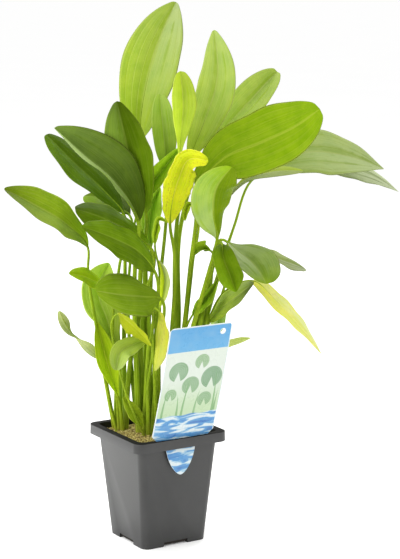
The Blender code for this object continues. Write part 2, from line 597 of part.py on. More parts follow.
def blade_halves(one, midrib):
    """For each station of the blade, the way from the midrib to its left and right margin."""
    along = np.linspace(0.0, 1.0, BLADE_STATIONS)
    heading = unit(np.gradient(midrib, axis=0))
    sideways = unit(np.cross(heading, unit(midrib - EYE)))
    facing = unit(np.cross(heading, sideways))
    pixel = np.linalg.norm(midrib[BLADE_STATIONS // 2] - EYE) / PICTURE_FOCUS
    profile = half_width(along, one["widest"], one["ends"])
    halves = []
    for side, shown, lean in zip((1, -1), one["shows"], one["lean"]):
        reach = max(one["width"] / 2, shown * pixel)
        angle = math.acos(shown * pixel / reach) * lean
        angle = angle + one["twist"] * (along - 0.5) * side
        out = sideways * (side * np.cos(angle))[:, None] - facing * np.sin(angle)[:, None]
        halves.append(out * (reach * profile)[:, None])
    return halves


def stalk_radius(one):
    return one["stem"] * (1.0 - STALK_TAPER * np.linspace(0.0, 1.0, STALK_STATIONS))


def move_along_sight(points, shift):
    """Points moved away from the eye, but only level where they are near the soil."""
    ray = points - EYE
    ray = ray / ray[:, 1:2]
    ramp = np.clip((points[:, 2] - SOIL_TOP) / RAMP_HEIGHT, 0.0, 1.0)
    ray[:, 0] *= ramp
    ray[:, 2] *= ramp
    return points + ray * shift[:, None]


def leaf_cloud(one, path):
    """Points all over a leaf, the room that each takes up, and the station that it belongs to."""
    midrib = path[STALK_STATIONS:]
    left, right = blade_halves(one, midrib)
    points = [path[:STALK_STATIONS]]
    rooms = [stalk_radius(one)]
    stations = [np.arange(STALK_STATIONS)]
    for share in ACROSS_BLADE:
        half = right if share > 0 else left
        points.append(midrib + abs(share) * half)
        rooms.append(np.full(BLADE_STATIONS, BLADE_ROOM))
        stations.append(STALK_STATIONS + np.arange(BLADE_STATIONS))
    points = np.concatenate(points)
    return {"points": points, "rooms": np.concatenate(rooms), "stations": np.concatenate(stations),
            "low": points.min(axis=0) - CLOUD_MARGIN, "high": points.max(axis=0) + CLOUD_MARGIN}


def push_pair(names, clouds, pushes, orders):
    """Note how far two leaves have to move apart, one away from the eye and the other towards it."""
    first, second = [clouds[name] for name in names]
    low = np.maximum(first["low"], second["low"])
    high = np.minimum(first["high"], second["high"])
    near = [np.all((cloud["points"] > low) & (cloud["points"] < high), axis=1)
            for cloud in (first, second)]
    if not near[0].any() or not near[1].any():
        return
    between = second["points"][near[1]][None, :, :] - first["points"][near[0]][:, None, :]
    need = first["rooms"][near[0]][:, None] + second["rooms"][near[1]][None, :] + CLEARANCE
    rows, columns = np.nonzero((between ** 2).sum(axis=-1) < need ** 2)
    if len(rows) == 0:
        return
    need = need[rows, columns]
    behind = between[rows, columns, 1]
    level = between[rows, columns, 0] ** 2 + between[rows, columns, 2] ** 2
    order = orders.setdefault(names, 1.0 if behind.sum() >= 0 else -1.0)
    wanted = np.sqrt(np.maximum(need ** 2 - level, 0.0))
    lack = np.minimum(wanted - order * behind, need) * 0.5
    nearer = 1 if order > 0 else 0
    np.maximum.at(pushes[names[0]][nearer], first["stations"][near[0]][rows], lack)
    np.maximum.at(pushes[names[1]][1 - nearer], second["stations"][near[1]][columns], lack)


def spread_leaves():
    """The path of each leaf, once leaves that came too close have pushed each other apart."""
    total = STALK_STATIONS + BLADE_STATIONS
    steps = np.arange(total)
    share = np.exp(-0.5 * ((steps[:, None] - steps[None, :]) / PUSH_SPREAD) ** 2)
    share = share / share.sum(axis=1, keepdims=True)
    paths = {name: leaf_path(one) for name, one in LEAVES.items()}
    shifts = {name: np.zeros(total) for name in LEAVES}
    pairs = [(name, other) for name in LEAVES for other in LEAVES if name < other]
    orders = {}
    for _ in range(PUSH_ROUNDS):
        clouds = {name: leaf_cloud(one, move_along_sight(paths[name], shifts[name]))
                  for name, one in LEAVES.items()}
        pushes = {name: np.zeros((2, total)) for name in LEAVES}
        for pair in pairs:
            if np.all(clouds[pair[0]]["low"] < clouds[pair[1]]["high"]) and \
                    np.all(clouds[pair[1]]["low"] < clouds[pair[0]]["high"]):
                push_pair(pair, clouds, pushes, orders)
        for name in LEAVES:
            away, towards = pushes[name]
            shifts[name] += share @ (away - towards) * PUSH_SHARE
    return {name: move_along_sight(paths[name], shifts[name]) for name in LEAVES}


def stalk_rings(one, stalk, side):
    """Four points round the stalk at each of its rows, with one pair of them to the sides."""
    radius = stalk_radius(one)
    heading = unit(np.gradient(stalk, axis=0))
    heading[0] = (0.0, 0.0, 1.0)
    rings = []
    for row in STALK_ROWS:
        left = unit(side - heading[row] * (side @ heading[row])) * radius[row]
        upper = np.cross(heading[row], -left)
        rings.append([stalk[row] + arm for arm in (left, upper, -left, -upper)])
    return rings


def blade_rings(one, midrib, left, right):
    """Four points round the blade at each of its rows: its margins, and both faces of the midrib."""
    neck_radius = stalk_radius(one)[-1]
    heading = unit(np.gradient(midrib, axis=0))
    rings = []
    for row in BLADE_ROWS:
        along = row / (BLADE_STATIONS - 1)
        least = neck_radius * (1.0 - along)
        left_arm = unit(left[row]) * max(np.linalg.norm(left[row]), least)
        right_arm = unit(right[row]) * max(np.linalg.norm(right[row]), least)
        upward = unit(np.cross(heading[row], right_arm - left_arm))
        swell = (neck_radius - BLADE_THICKNESS / 2) * max(0.0, 1.0 - row / NECK_STATIONS)
        upper = upward * (BLADE_THICKNESS / 2 + swell) * (1.0 - BLADE_THINNING * along)
        rings.append([midrib[row] + arm for arm in (left_arm, upper, right_arm, -upper)])
    return rings


def loft(name, rings, tip, parts, finish):
    """A closed skin over rings of four points that ends in a point, with a flat cap at its foot.

    Each half's two faces are split along the same diagonal, from the margin to the midrib of the
    next ring, so that a thin, twisted blade's faces never pass through each other."""
    work = bmesh.new()
    rows = [[work.verts.new(Vector(point)) for point in ring] for ring in rings]
    end = work.verts.new(Vector(tip))
    work.faces.new(rows[0])
    for side in range(4):
        after = (side + 1) % 4
        for row, above in zip(rows, rows[1:]):
            low, high = (side, after) if side % 2 == 0 else (after, side)
            work.faces.new((row[after], row[side], above[high]))
            work.faces.new((above[after], row[low], above[side]))
        work.faces.new((rows[-1][after], rows[-1][side], end))
    return new_object(name, work, parts, finish)


def make_leaf(name, one, path, parts):
    """One leaf, grown as one piece from the foot of its stalk to the tip of its blade."""
    stalk = path[:STALK_STATIONS]
    midrib = path[STALK_STATIONS:]
    left, right = blade_halves(one, midrib)
    side = unit(left[2] - right[2])
    rings = stalk_rings(one, stalk, side) + blade_rings(one, midrib, left, right)
    return loft(name, rings, midrib[-1], parts, one["finish"])


def make_cut_stalk(parts):
    """The short stub of a leaf that was cut off: a thin rod from the soil to its cut end."""
    foot = (*CUT_STALK_FOOT, SOIL_TOP + GAP)
    top = seen(*CUT_STALK_TOP)
    work = bmesh.new()
    bmesh.ops.create_cone(work, cap_ends=True, segments=CUT_STALK_SIDES, radius1=CUT_STALK_RADIUS,
                          radius2=CUT_STALK_RADIUS, depth=1.0)
    for vertex in work.verts:
        end = top if vertex.co.z > 0 else foot
        vertex.co = (vertex.co.x + end[0], vertex.co.y + end[1], end[2])
    return new_object("cut_stalk", work, parts, "leaf_pale")


def make_plant(parts):
    """All the leaves and the cut stalk, turned together to face the way that the pot does."""
    note_tall_leaves()
    note_right_leaves()
    note_middle_leaves()
    note_left_leaves()
    turn = bpy.data.objects.new("plant_turn", None)
    parts.objects.link(turn)
    turn.rotation_euler = (0.0, 0.0, PLANT_TURN)
    paths = spread_leaves()
    for name, one in LEAVES.items():
        make_leaf(name, one, paths[name], parts).parent = turn
    make_cut_stalk(parts).parent = turn


def main():
    clear_scene()
    parts = new_collection("potted_echinodorus")
    cutters = new_collection("cutters")
    make_pot(parts, cutters)
    make_soil(parts)
    make_label(parts)
    make_plant(parts)
    cutters.hide_render = True
    bpy.context.view_layer.update()


main()
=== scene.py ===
# %% [markdown]
# # A potted echinodorus, dressed
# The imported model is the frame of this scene: plain solids of the right size in the right place.
# This notebook dresses them. It sets up the camera and the light, then makes the pot, the soil, the
# label and the leaves one after the other, each with its own finish. All lengths are in metres, the
# pot stands on z = 0 with its middle on the Z axis, and the label faces -Y.

# %% Load the frame
import math

import bmesh
import bpy
import numpy as np
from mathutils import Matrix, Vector, noise


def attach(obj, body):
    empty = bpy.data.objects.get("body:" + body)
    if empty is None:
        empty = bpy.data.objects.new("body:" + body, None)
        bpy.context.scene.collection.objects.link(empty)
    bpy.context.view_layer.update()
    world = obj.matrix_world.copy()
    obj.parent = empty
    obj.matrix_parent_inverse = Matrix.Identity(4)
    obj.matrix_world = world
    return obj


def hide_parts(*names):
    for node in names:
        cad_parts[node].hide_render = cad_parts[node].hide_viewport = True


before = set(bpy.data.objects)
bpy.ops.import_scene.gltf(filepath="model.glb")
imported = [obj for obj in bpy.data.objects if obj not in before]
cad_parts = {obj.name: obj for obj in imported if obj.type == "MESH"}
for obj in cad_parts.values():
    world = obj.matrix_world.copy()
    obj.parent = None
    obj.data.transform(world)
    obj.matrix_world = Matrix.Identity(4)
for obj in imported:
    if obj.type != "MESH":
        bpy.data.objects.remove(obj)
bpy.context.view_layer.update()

# %% [markdown]
# ## Where the eye stands
# The plant was laid out as it is seen from the front, x across, y away and z up, and then turned
# with its pot. The same eye now becomes the camera, so a place in the picture and a distance behind
# the pot's middle give a real place. A long lens from 1.6 m away keeps the pot's sides nearly
# parallel, as a studio photographer would have them.

# %% The eye and the camera
PLANT_TURN = math.radians(-30.17)
EYE = np.array((0.0, -1.537, 0.5048))
EYE_YAW = math.radians(1.42)
EYE_PITCH = math.radians(10.03)
PICTURE_SIZE = (400, 559)
PICTURE_MIDDLE = (200.0, 279.5)
PICTURE_FOCUS = 1782.4
FILM_HEIGHT = 36.0
FORWARD = np.array((math.sin(EYE_YAW) * math.cos(EYE_PITCH),
                    math.cos(EYE_YAW) * math.cos(EYE_PITCH), -math.sin(EYE_PITCH)))
RIGHT = np.array((math.cos(EYE_YAW), -math.sin(EYE_YAW), 0.0))
UP = np.cross(RIGHT, FORWARD)


def turned(points):
    """Points of the plant's layout, turned with the pot."""
    points = np.asarray(points, float)
    across = points[..., 0] * math.cos(PLANT_TURN) - points[..., 1] * math.sin(PLANT_TURN)
    away = points[..., 0] * math.sin(PLANT_TURN) + points[..., 1] * math.cos(PLANT_TURN)
    return np.stack([across, away, points[..., 2]], axis=-1)


bpy.ops.object.camera_add(location=turned(EYE))
camera = bpy.context.object
camera.name = "camera"
camera.rotation_euler = Vector(turned(FORWARD)).to_track_quat("-Z", "Y").to_euler()
camera.data.sensor_fit = "VERTICAL"
camera.data.sensor_height = FILM_HEIGHT
camera.data.lens = PICTURE_FOCUS / PICTURE_SIZE[1] * FILM_HEIGHT
bpy.context.scene.camera = camera
print("camera at", [round(value, 3) for value in camera.location], "lens", round(camera.data.lens, 1))

# %% [markdown]
# ## Small tools for finishes
# Every finish here is a net of nodes that ends in one Principled shader. These helpers keep the nets
# readable: `add` makes a node and wires it up, and a `Number` is what a node gives, which can be
# reckoned with as if it were a plain number. Its `fade` is a soft step from 0 to 1, and its `mix`
# mixes two colours. The picture is shown with the Standard view, so that the strong greens stay as
# strong as they are painted.

# %% Helpers for finishes
bpy.context.scene.view_settings.view_transform = "Standard"


def wire(value, socket):
    """Set a socket to a plain value or a colour, or link it to another node's output."""
    if isinstance(value, Number):
        value = value.socket
    if isinstance(value, bpy.types.NodeSocket):
        socket.id_data.links.new(value, socket)
    elif socket.type == "RGBA" and len(value) == 3:
        socket.default_value = (*value, 1.0)
    else:
        socket.default_value = value


def add(tree, kind, inputs=None, **settings):
    """A new node with these settings and inputs."""
    one = tree.nodes.new("ShaderNode" + kind)
    for name, value in settings.items():
        setattr(one, name, value)
    for name, value in (inputs or {}).items():
        wire(value, one.inputs[name])
    return one


class Number:
    """A number that comes out of a node. Each sum with it is one more node, and a Number again."""

    def __init__(self, socket):
        self.socket = socket
        self.tree = socket.id_data

    def maths(self, operation, *others):
        values = dict(enumerate((self, *others)))
        return Number(add(self.tree, "Math", values, operation=operation).outputs["Value"])

    def __add__(self, other):
        return self.maths("ADD", other)

    def __sub__(self, other):
        return self.maths("SUBTRACT", other)

    def __rsub__(self, other):
        return self * -1.0 + other

    def __mul__(self, other):
        return self.maths("MULTIPLY", other)

    def __truediv__(self, other):
        return self.maths("DIVIDE", other)

    def __abs__(self):
        return self.maths("ABSOLUTE")

    def fade(self, start, end, low=0.0, high=1.0):
        """A soft step from low to high while this number goes from start to end."""
        reach = {"Value": self, "From Min": start, "From Max": end, "To Min": low, "To Max": high}
        one = add(self.tree, "MapRange", reach, interpolation_type="SMOOTHSTEP")
        return Number(one.outputs["Result"])

    def mix(self, first, second):
        """The first colour where this number is 0, and the second where it is 1."""
        return mixed(self.tree, self, first, second, "MIX")


def mixed(tree, share, first, second, kind):
    """A Mix node's colour. Its inputs go by number, because it has several of each name."""
    inputs = {0: share, 6: first, 7: second}
    return add(tree, "Mix", inputs, data_type="RGBA", blend_type=kind).outputs[2]


def new_finish(name, roughness, shine=0.5):
    """A material, its node tree and its shader, with a plain roughness to start from."""
    finish = bpy.data.materials.new(name)
    finish.use_nodes = True
    shader = finish.node_tree.nodes["Principled BSDF"]
    wire(roughness, shader.inputs["Roughness"])
    wire(shine, shader.inputs["Specular IOR Level"])
    return finish, finish.node_tree, shader


def own_place(tree):
    """Where a point lies on its own piece, in metres."""
    return add(tree, "TexCoord").outputs["Object"]


def axes(vector):
    """The three numbers of a vector."""
    return [Number(one) for one in add(vector.id_data, "SeparateXYZ", {"Vector": vector}).outputs]


def chart_numbers(tree, name):
    """The two numbers of a piece's own chart."""
    return axes(add(tree, "UVMap", uv_map=name).outputs["UV"])[:2]


def grain(place, scale, detail=2.0, rough=0.5, stretch=(1.0, 1.0, 1.0)):
    """Noise from 0 to 1 on these coordinates."""
    tree = place.id_data
    place = add(tree, "Mapping", {"Vector": place, "Scale": stretch}).outputs["Vector"]
    inputs = {"Vector": place, "Scale": scale, "Detail": detail, "Roughness": rough}
    return Number(add(tree, "TexNoise", inputs).outputs["Fac"])


def streaks_along(x, y, z=0.0, detail=2.0, distortion=0.0):
    """Noise from 0 to 1 on numbers that already have their scale, so that it draws out in streaks."""
    place = add(x.tree, "CombineXYZ", {"X": x, "Y": y, "Z": z}).outputs["Vector"]
    inputs = {"Vector": place, "Scale": 1.0, "Detail": detail, "Distortion": distortion}
    return Number(add(x.tree, "TexNoise", inputs).outputs["Fac"])


def bump(shader, height, depth, strength=1.0):
    """Small hills of this depth on a shader's surface."""
    hills = add(height.tree, "Bump", {"Height": height, "Distance": depth, "Strength": strength})
    wire(hills.outputs["Normal"], shader.inputs["Normal"])


# %% [markdown]
# ## Small tools for shapes
# An operator acts on whatever is selected, so each step starts from nothing selected. `pick` then
# selects by a test on place or normal, in edit mode, as a hand would with the mouse. `bent_grid` is
# the way that the grown pieces are made: a flat grid, as fine as it has to be, whose points are all
# moved to their places at once.

# %% Helpers for shapes
SAME_PLACE = 0.00001


def work_on(piece, mode="OBJECT"):
    """Select one piece alone, and go into this mode with it."""
    if bpy.context.object and bpy.context.object.mode != "OBJECT":
        bpy.ops.object.mode_set(mode="OBJECT")
    bpy.ops.object.select_all(action="DESELECT")
    piece.select_set(True)
    bpy.context.view_layer.objects.active = piece
    bpy.ops.object.mode_set(mode=mode)


def pick(piece, kind, test):
    """In edit mode, select only the faces, edges or verts that pass the test."""
    bpy.ops.mesh.select_mode(type={"verts": "VERT", "edges": "EDGE", "faces": "FACE"}[kind])
    bpy.ops.mesh.select_all(action="DESELECT")
    work = bmesh.from_edit_mesh(piece.data)
    found = [thing for thing in getattr(work, kind) if test(thing)]
    for thing in found:
        thing.select_set(True)
    bmesh.update_edit_mesh(piece.data)
    return len(found)


def use(piece, kind, **settings):
    """Add a modifier with these settings and apply it."""
    work_on(piece)
    bpy.ops.object.modifier_add(type=kind)
    modifier = piece.modifiers[-1]
    for name, value in settings.items():
        setattr(modifier, name, value)
    bpy.ops.object.modifier_apply(modifier=modifier.name)


def place_in_mesh(piece):
    """Put the piece's place, turn and size into its mesh, so that its object sits at the origin."""
    work_on(piece)
    bpy.ops.object.transform_apply(location=True, rotation=True, scale=True)


def new_piece(name, make, **settings):
    """A new piece, made by one of Blender's own operators and selected alone."""
    bpy.ops.object.select_all(action="DESELECT")
    make(**settings)
    piece = bpy.context.object
    piece.name = name
    return piece


def new_block(name, size, middle=(0.0, 0.0, 0.0)):
    piece = new_piece(name, bpy.ops.mesh.primitive_cube_add, size=1.0, location=middle, scale=size)
    place_in_mesh(piece)
    return piece


def smooth(piece, sharp_angle=None):
    work_on(piece)
    if sharp_angle is None:
        bpy.ops.object.shade_smooth()
    else:
        bpy.ops.object.shade_smooth_by_angle(angle=math.radians(sharp_angle))


def hand_over(piece, slot, finish, *nodes):
    """Give a finished piece its finish, let it ride, and let it stand for its nodes. The slot is not
    used.
    """
    if finish is not None:
        piece.data.materials.clear()
        piece.data.materials.append(finish)
    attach(piece, "root")
    if nodes:
        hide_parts(*nodes)


def bent_grid(name, across, along, place):
    """A flat grid whose points go where `place` says, from their shares across and along."""
    piece = new_piece(name, bpy.ops.mesh.primitive_grid_add, x_subdivisions=across,
                      y_subdivisions=along, size=1.0)
    flat = np.empty(len(piece.data.vertices) * 3)
    piece.data.vertices.foreach_get("co", flat)
    shares = flat.reshape(-1, 3)[:, :2] + 0.5
    piece.data.vertices.foreach_set("co", place(shares[:, 0], shares[:, 1]).reshape(-1))
    piece.data.update()
    work_on(piece, "EDIT")
    bpy.ops.mesh.select_all(action="SELECT")
    bpy.ops.mesh.remove_doubles(threshold=SAME_PLACE)
    bpy.ops.mesh.normals_make_consistent(inside=False)
    bpy.ops.object.mode_set(mode="OBJECT")
    return piece


# %% [markdown]
# ## The stage and the light
# A studio sweep: a wide white floor that glows faintly, as a lit acrylic sheet does, so that it melts
# into the white room and takes most of the strength out of the shadows. A broad soft light stands on
# the left, a higher one behind that brightens the upper leaves, a weak one on the right, and a small
# near one at the back left, whose glancing light draws the grey sheen on the pot's left side.

# %% Floor, room and lights
FLOOR_SIDE = 160.0
FLOOR_GLOW = 0.08
FLOOR_WHITES = ((0.92, 0.92, 0.92), (0.94, 0.94, 0.937))
WHITE = (1.0, 1.0, 1.0)
ROOM_BRIGHTNESS = 0.98


def make_floor():
    floor = new_piece("floor", bpy.ops.mesh.primitive_plane_add, size=FLOOR_SIDE)
    finish, tree, shader = new_finish("floor_sheet", 0.7, 0.0)
    wire(grain(own_place(tree), 3.0).mix(*FLOOR_WHITES), shader.inputs["Base Color"])
    wire(WHITE, shader.inputs["Emission Color"])
    wire(FLOOR_GLOW, shader.inputs["Emission Strength"])
    floor.data.materials.append(finish)


def make_light(name, where, aim, size, power):
    """A square soft light that looks at a point. Both are in the plant's layout."""
    bpy.ops.object.light_add(type="AREA", location=turned(where))
    light = bpy.context.object
    light.name = name
    away = Vector(turned(where)) - Vector(turned(aim))
    light.rotation_euler = away.to_track_quat("Z", "Y").to_euler()
    light.data.size = size
    light.data.energy = power


room = bpy.data.worlds.new("room")
room.use_nodes = True
wire(WHITE, room.node_tree.nodes["Background"].inputs["Color"])
wire(ROOM_BRIGHTNESS, room.node_tree.nodes["Background"].inputs["Strength"])
bpy.context.scene.world = room
make_floor()
make_light("left_light", where=(-1.3, -0.9, 1.1), aim=(0.0, 0.0, 0.2), size=1.0, power=20.0)
make_light("back_light", where=(0.3, 1.1, 1.5), aim=(0.0, 0.0, 0.3), size=1.0, power=16.0)
make_light("right_light", where=(1.4, -1.0, 1.0), aim=(0.0, 0.0, 0.2), size=1.0, power=7.0)
make_light("sheen_light", where=(-0.30, 0.24, 0.22), aim=(-0.03, 0.0, 0.06), size=0.25, power=1.3)

# %% [markdown]
# ## The pot
# The real pot is formed from thin black plastic: a square cup that narrows to its foot, with rounded
# corners, a flat rim, a skirt that stiffens the rim, and a low opening under each side for the water
# to drain. It could be made from a bought profile, but a block shaped by hand is quicker and shows
# each step: taper it, round its upright edges, open it, pull out the rim, pull down the skirt, and
# only then give the skin its thickness.

# %% The pot's sizes
# These are the sizes of the skin. Its thickness goes inwards on the body, but upwards on the rim and
# outwards on the skirt, which end one wall's thickness beyond them.
POT_TOP = 0.0900
POT_FOOT = 0.0634
POT_HEIGHT = 0.0990
BODY_TOP = 0.0804
POT_WALL = 0.0010
POT_CORNER = 0.0066
SKIRT_HEIGHT = 0.0075
SKIRT_FLARE = 1.004
CORNER_STEPS = 8
NOTCH = (0.0240, 0.0100, 0.0080)
EDGE_ROUNDING = 0.00035
SHARP_ANGLE = 40
SLOT = (0.0320, 0.0025, 0.0100)
SLOT_PLACE = (-0.0010, -0.0421, 0.0990)


def is_upright(edge):
    return abs((edge.verts[0].co - edge.verts[1].co).normalized().z) > 0.9


# %% The pot's skin, rim and skirt
def shape_pot():
    pot = new_block("pot_shell", (POT_FOOT, POT_FOOT, POT_HEIGHT), (0.0, 0.0, POT_HEIGHT / 2))
    work_on(pot, "EDIT")
    pick(pot, "faces", lambda face: face.normal.z > 0.9)
    grow = BODY_TOP / POT_FOOT
    bpy.ops.transform.resize(value=(grow, grow, 1.0))
    pick(pot, "edges", is_upright)
    bpy.ops.mesh.bevel(offset=POT_CORNER, segments=CORNER_STEPS, profile=0.5)
    pick(pot, "faces", lambda face: face.normal.z > 0.9)
    bpy.ops.mesh.delete(type="ONLY_FACE")
    pick(pot, "edges", lambda edge: edge.is_boundary)
    out = POT_TOP / BODY_TOP
    bpy.ops.mesh.extrude_region_move()
    bpy.ops.transform.resize(value=(out, out, 1.0))
    bpy.ops.mesh.extrude_region_move(TRANSFORM_OT_translate={"value": (0.0, 0.0, -SKIRT_HEIGHT)})
    bpy.ops.transform.resize(value=(SKIRT_FLARE, SKIRT_FLARE, 1.0))
    bpy.ops.mesh.select_all(action="SELECT")
    bpy.ops.mesh.normals_make_consistent(inside=False)
    work = bmesh.from_edit_mesh(pot.data)
    if min(work.faces, key=lambda face: face.calc_center_median().z).normal.z > 0.0:
        bpy.ops.mesh.flip_normals()
    bpy.ops.object.mode_set(mode="OBJECT")
    use(pot, "SOLIDIFY", thickness=POT_WALL, offset=-1.0, use_even_offset=True)
    return pot


def cut(piece, size, middle, turn=0.0):
    """Take a block of this size out of a piece."""
    cutter = new_block("cutter", size)
    cutter.rotation_euler = (0.0, 0.0, turn)
    cutter.location = middle
    use(piece, "BOOLEAN", operation="DIFFERENCE", solver="EXACT", object=cutter)
    bpy.data.objects.remove(cutter, do_unlink=True)


def cut_openings(pot):
    """A drain notch at the middle of each side's foot, and the slot for the label's tongue."""
    for side in range(4):
        turn = side * math.pi / 2
        reach = POT_FOOT / 2
        cut(pot, NOTCH, (reach * math.sin(turn), -reach * math.cos(turn), 0.0), turn)
    cut(pot, SLOT, SLOT_PLACE)


pot = shape_pot()
cut_openings(pot)
use(pot, "BEVEL", width=EDGE_ROUNDING, segments=2, limit_method="ANGLE",
    angle_limit=math.radians(SHARP_ANGLE))
smooth(pot, SHARP_ANGLE)
print("pot:", len(pot.data.polygons), "faces, box", [round(size, 4) for size in pot.dimensions])

# %% [markdown]
# ## The pot's plastic
# Recycled black plastic is never quite black or even: it is a very dark grey with a fine haze, and
# the mould leaves a satin skin that scatters the light of the room. Broad clouds of slightly lighter
# grey and a tiny grain do that here. Towards the foot the grey darkens, which is painted shade. The
# rim's flat top and the inside never touched the polished mould, so they stay dull and get a finish of
# their own, painted nearly black: partly their dull dark skin, partly painted shade inside the pot.

# %% The pot's finishes
POT_GREY = (0.024, 0.024, 0.0235)
POT_HAZE = (0.033, 0.033, 0.032)
# The grey of the painted shade towards the pot's foot
POT_FOOT_SHADE = (0.010, 0.010, 0.010)
# Nearly black for the rim's top and the inside: their dull skin, and painted shade inside the pot
POT_DULL_SHADED = (0.004, 0.004, 0.004)
POT_DUST = (0.013, 0.0125, 0.011)
# Where the painted shade towards the foot starts, and where it is deepest
POT_FOOT_SHADE_FROM = 0.036
POT_FOOT_SHADE_TO = 0.010
RIM_TOP = POT_HEIGHT - 0.0002


def pot_finish(name, dark, light, roughness, shine):
    """Dark plastic with clouds and dust of a lighter grey. Towards its foot it is darker: painted shade.
    """
    finish, tree, shader = new_finish(name, roughness, shine)
    place = own_place(tree)
    clouds = grain(place, 22.0, 4.0, 0.6)
    dust = grain(place, 1500.0, 2.0, 0.6)
    colour = clouds.fade(0.3, 0.7).mix(dark, light)
    colour = dust.fade(0.55, 0.8, 0.0, 0.3).mix(colour, light)
    # Painted shade: the plastic's colour darkens towards the foot
    darker_below = (axes(place)[2] + clouds * 0.012).fade(POT_FOOT_SHADE_FROM, POT_FOOT_SHADE_TO, 0.0, 0.5)
    wire(darker_below.mix(colour, POT_FOOT_SHADE), shader.inputs["Base Color"])
    wire(clouds.fade(0.2, 0.8, roughness - 0.04, roughness + 0.04), shader.inputs["Roughness"])
    bump(shader, dust, 0.00008, 0.4)
    return finish


def is_dull(face):
    """Whether a face belongs to the rim's flat top or to the pot's inside."""
    if face.normal.z > 0.8 and face.center.z > RIM_TOP:
        return True
    level = Vector((face.center.x, face.center.y, 0.0))
    return face.normal.dot(level) < -0.3 * level.length


hand_over(pot, "pot_plastic", pot_finish("pot_plastic", POT_GREY, POT_HAZE, 0.46, 0.5), "pot")
# The rim's top and the inside: a duller skin, painted nearly black, partly as painted shade
pot.data.materials.append(pot_finish("pot_dull", POT_DULL_SHADED, POT_DUST, 0.80, 0.1))
for face in pot.data.polygons:
    face.material_index = 1 if is_dull(face) else 0
print("pot: dull faces", sum(face.material_index for face in pot.data.polygons))

# %% [markdown]
# ## The soil
# Fine brown peat mixed with pale sand and bits of fibre, a few millimetres under the rim and heaped a
# little towards the stalks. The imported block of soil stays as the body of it. On top goes a crust: a
# grid with hills from noise, given a thickness, and then a few thousand loose grains. The grain is
# modelled once, from a coarse ball, and copied with its own turn, size and shade.

# %% The soil's crust
SOIL_TOP = 0.0940
CRUST_SIDE = 0.0761
CRUST_THICKNESS = 0.0012
CRUST_CORNER = 0.0050
CRUST_CELLS = 110
CRUST_RISE = 0.0016
# Hollows, lumps and crumbs: how close they lie, how high they are, and where their noise starts
SOIL_HILLS = ((45.0, 0.0010, 3.1), (190.0, 0.0007, 7.7), (520.0, 0.0004, 1.3))
WALL_FROM = 0.8
WALL_SINK = 0.0010


def rounded_square(across, along, side, corner):
    """Points of a square grid moved into a square with rounded corners."""
    x = (across - 0.5) * side
    y = (along - 0.5) * side
    inner = side / 2 - corner
    over_x = np.maximum(np.abs(x) - inner, 0.0)
    over_y = np.maximum(np.abs(y) - inner, 0.0)
    reach = np.maximum(over_x, over_y)
    length = np.maximum(np.hypot(over_x, over_y), 1e-9)
    scale = np.where(reach > 0, reach / length, 1.0)
    x = np.sign(x) * (np.minimum(np.abs(x), inner) + over_x * scale)
    y = np.sign(y) * (np.minimum(np.abs(y), inner) + over_y * scale)
    return x, y


def soil_height(x, y):
    """How high the soil lies here: broad hollows, small lumps, and lower along the pot's wall."""
    hills = sum(height * noise.noise(Vector((x * close, y * close, start)))
                for close, height, start in SOIL_HILLS)
    wall = max(abs(x), abs(y)) / (CRUST_SIDE / 2)
    sunk = WALL_SINK * max(0.0, wall - WALL_FROM) / (1.0 - WALL_FROM)
    return SOIL_TOP + CRUST_RISE + hills - sunk


def crust_place(across, along):
    x, y = rounded_square(across, along, CRUST_SIDE, CRUST_CORNER)
    height = [soil_height(*place) for place in zip(x, y)]
    return np.stack([x, y, height], axis=-1)


crust = bent_grid("soil_crust", CRUST_CELLS, CRUST_CELLS, crust_place)
use(crust, "SOLIDIFY", thickness=CRUST_THICKNESS, offset=-1.0)
smooth(crust)
print("crust:", len(crust.data.polygons), "faces")

# %% The soil's grains
GRAIN_COUNT = 2600
GRAIN_SIZES = (0.0004, 0.0013)
GRAIN_MARGIN = 0.0018
FIBRE_SHARE = 0.06
FIBRE_STRETCH = (4.5, 0.35, 0.3)
FIBRE_FLATNESS = 0.25


def model_grain():
    """One lumpy grain, from a ball of twenty faces."""
    ball = new_piece("grain", bpy.ops.mesh.primitive_ico_sphere_add, subdivisions=1, radius=1.0)
    work_on(ball, "EDIT")
    bpy.ops.transform.vertex_random(offset=0.25, seed=4)
    bpy.ops.object.mode_set(mode="OBJECT")
    points = np.array([vertex.co[:] for vertex in ball.data.vertices])
    faces = np.array([face.vertices[:] for face in ball.data.polygons])
    bpy.data.objects.remove(ball, do_unlink=True)
    return points, faces


def random_turn(chance):
    """A turn to any side, as a matrix of three arms at right angles."""
    arms, _ = np.linalg.qr(chance.normal(size=(3, 3)))
    if np.linalg.det(arms) < 0:
        arms[:, 0] = -arms[:, 0]
    return arms


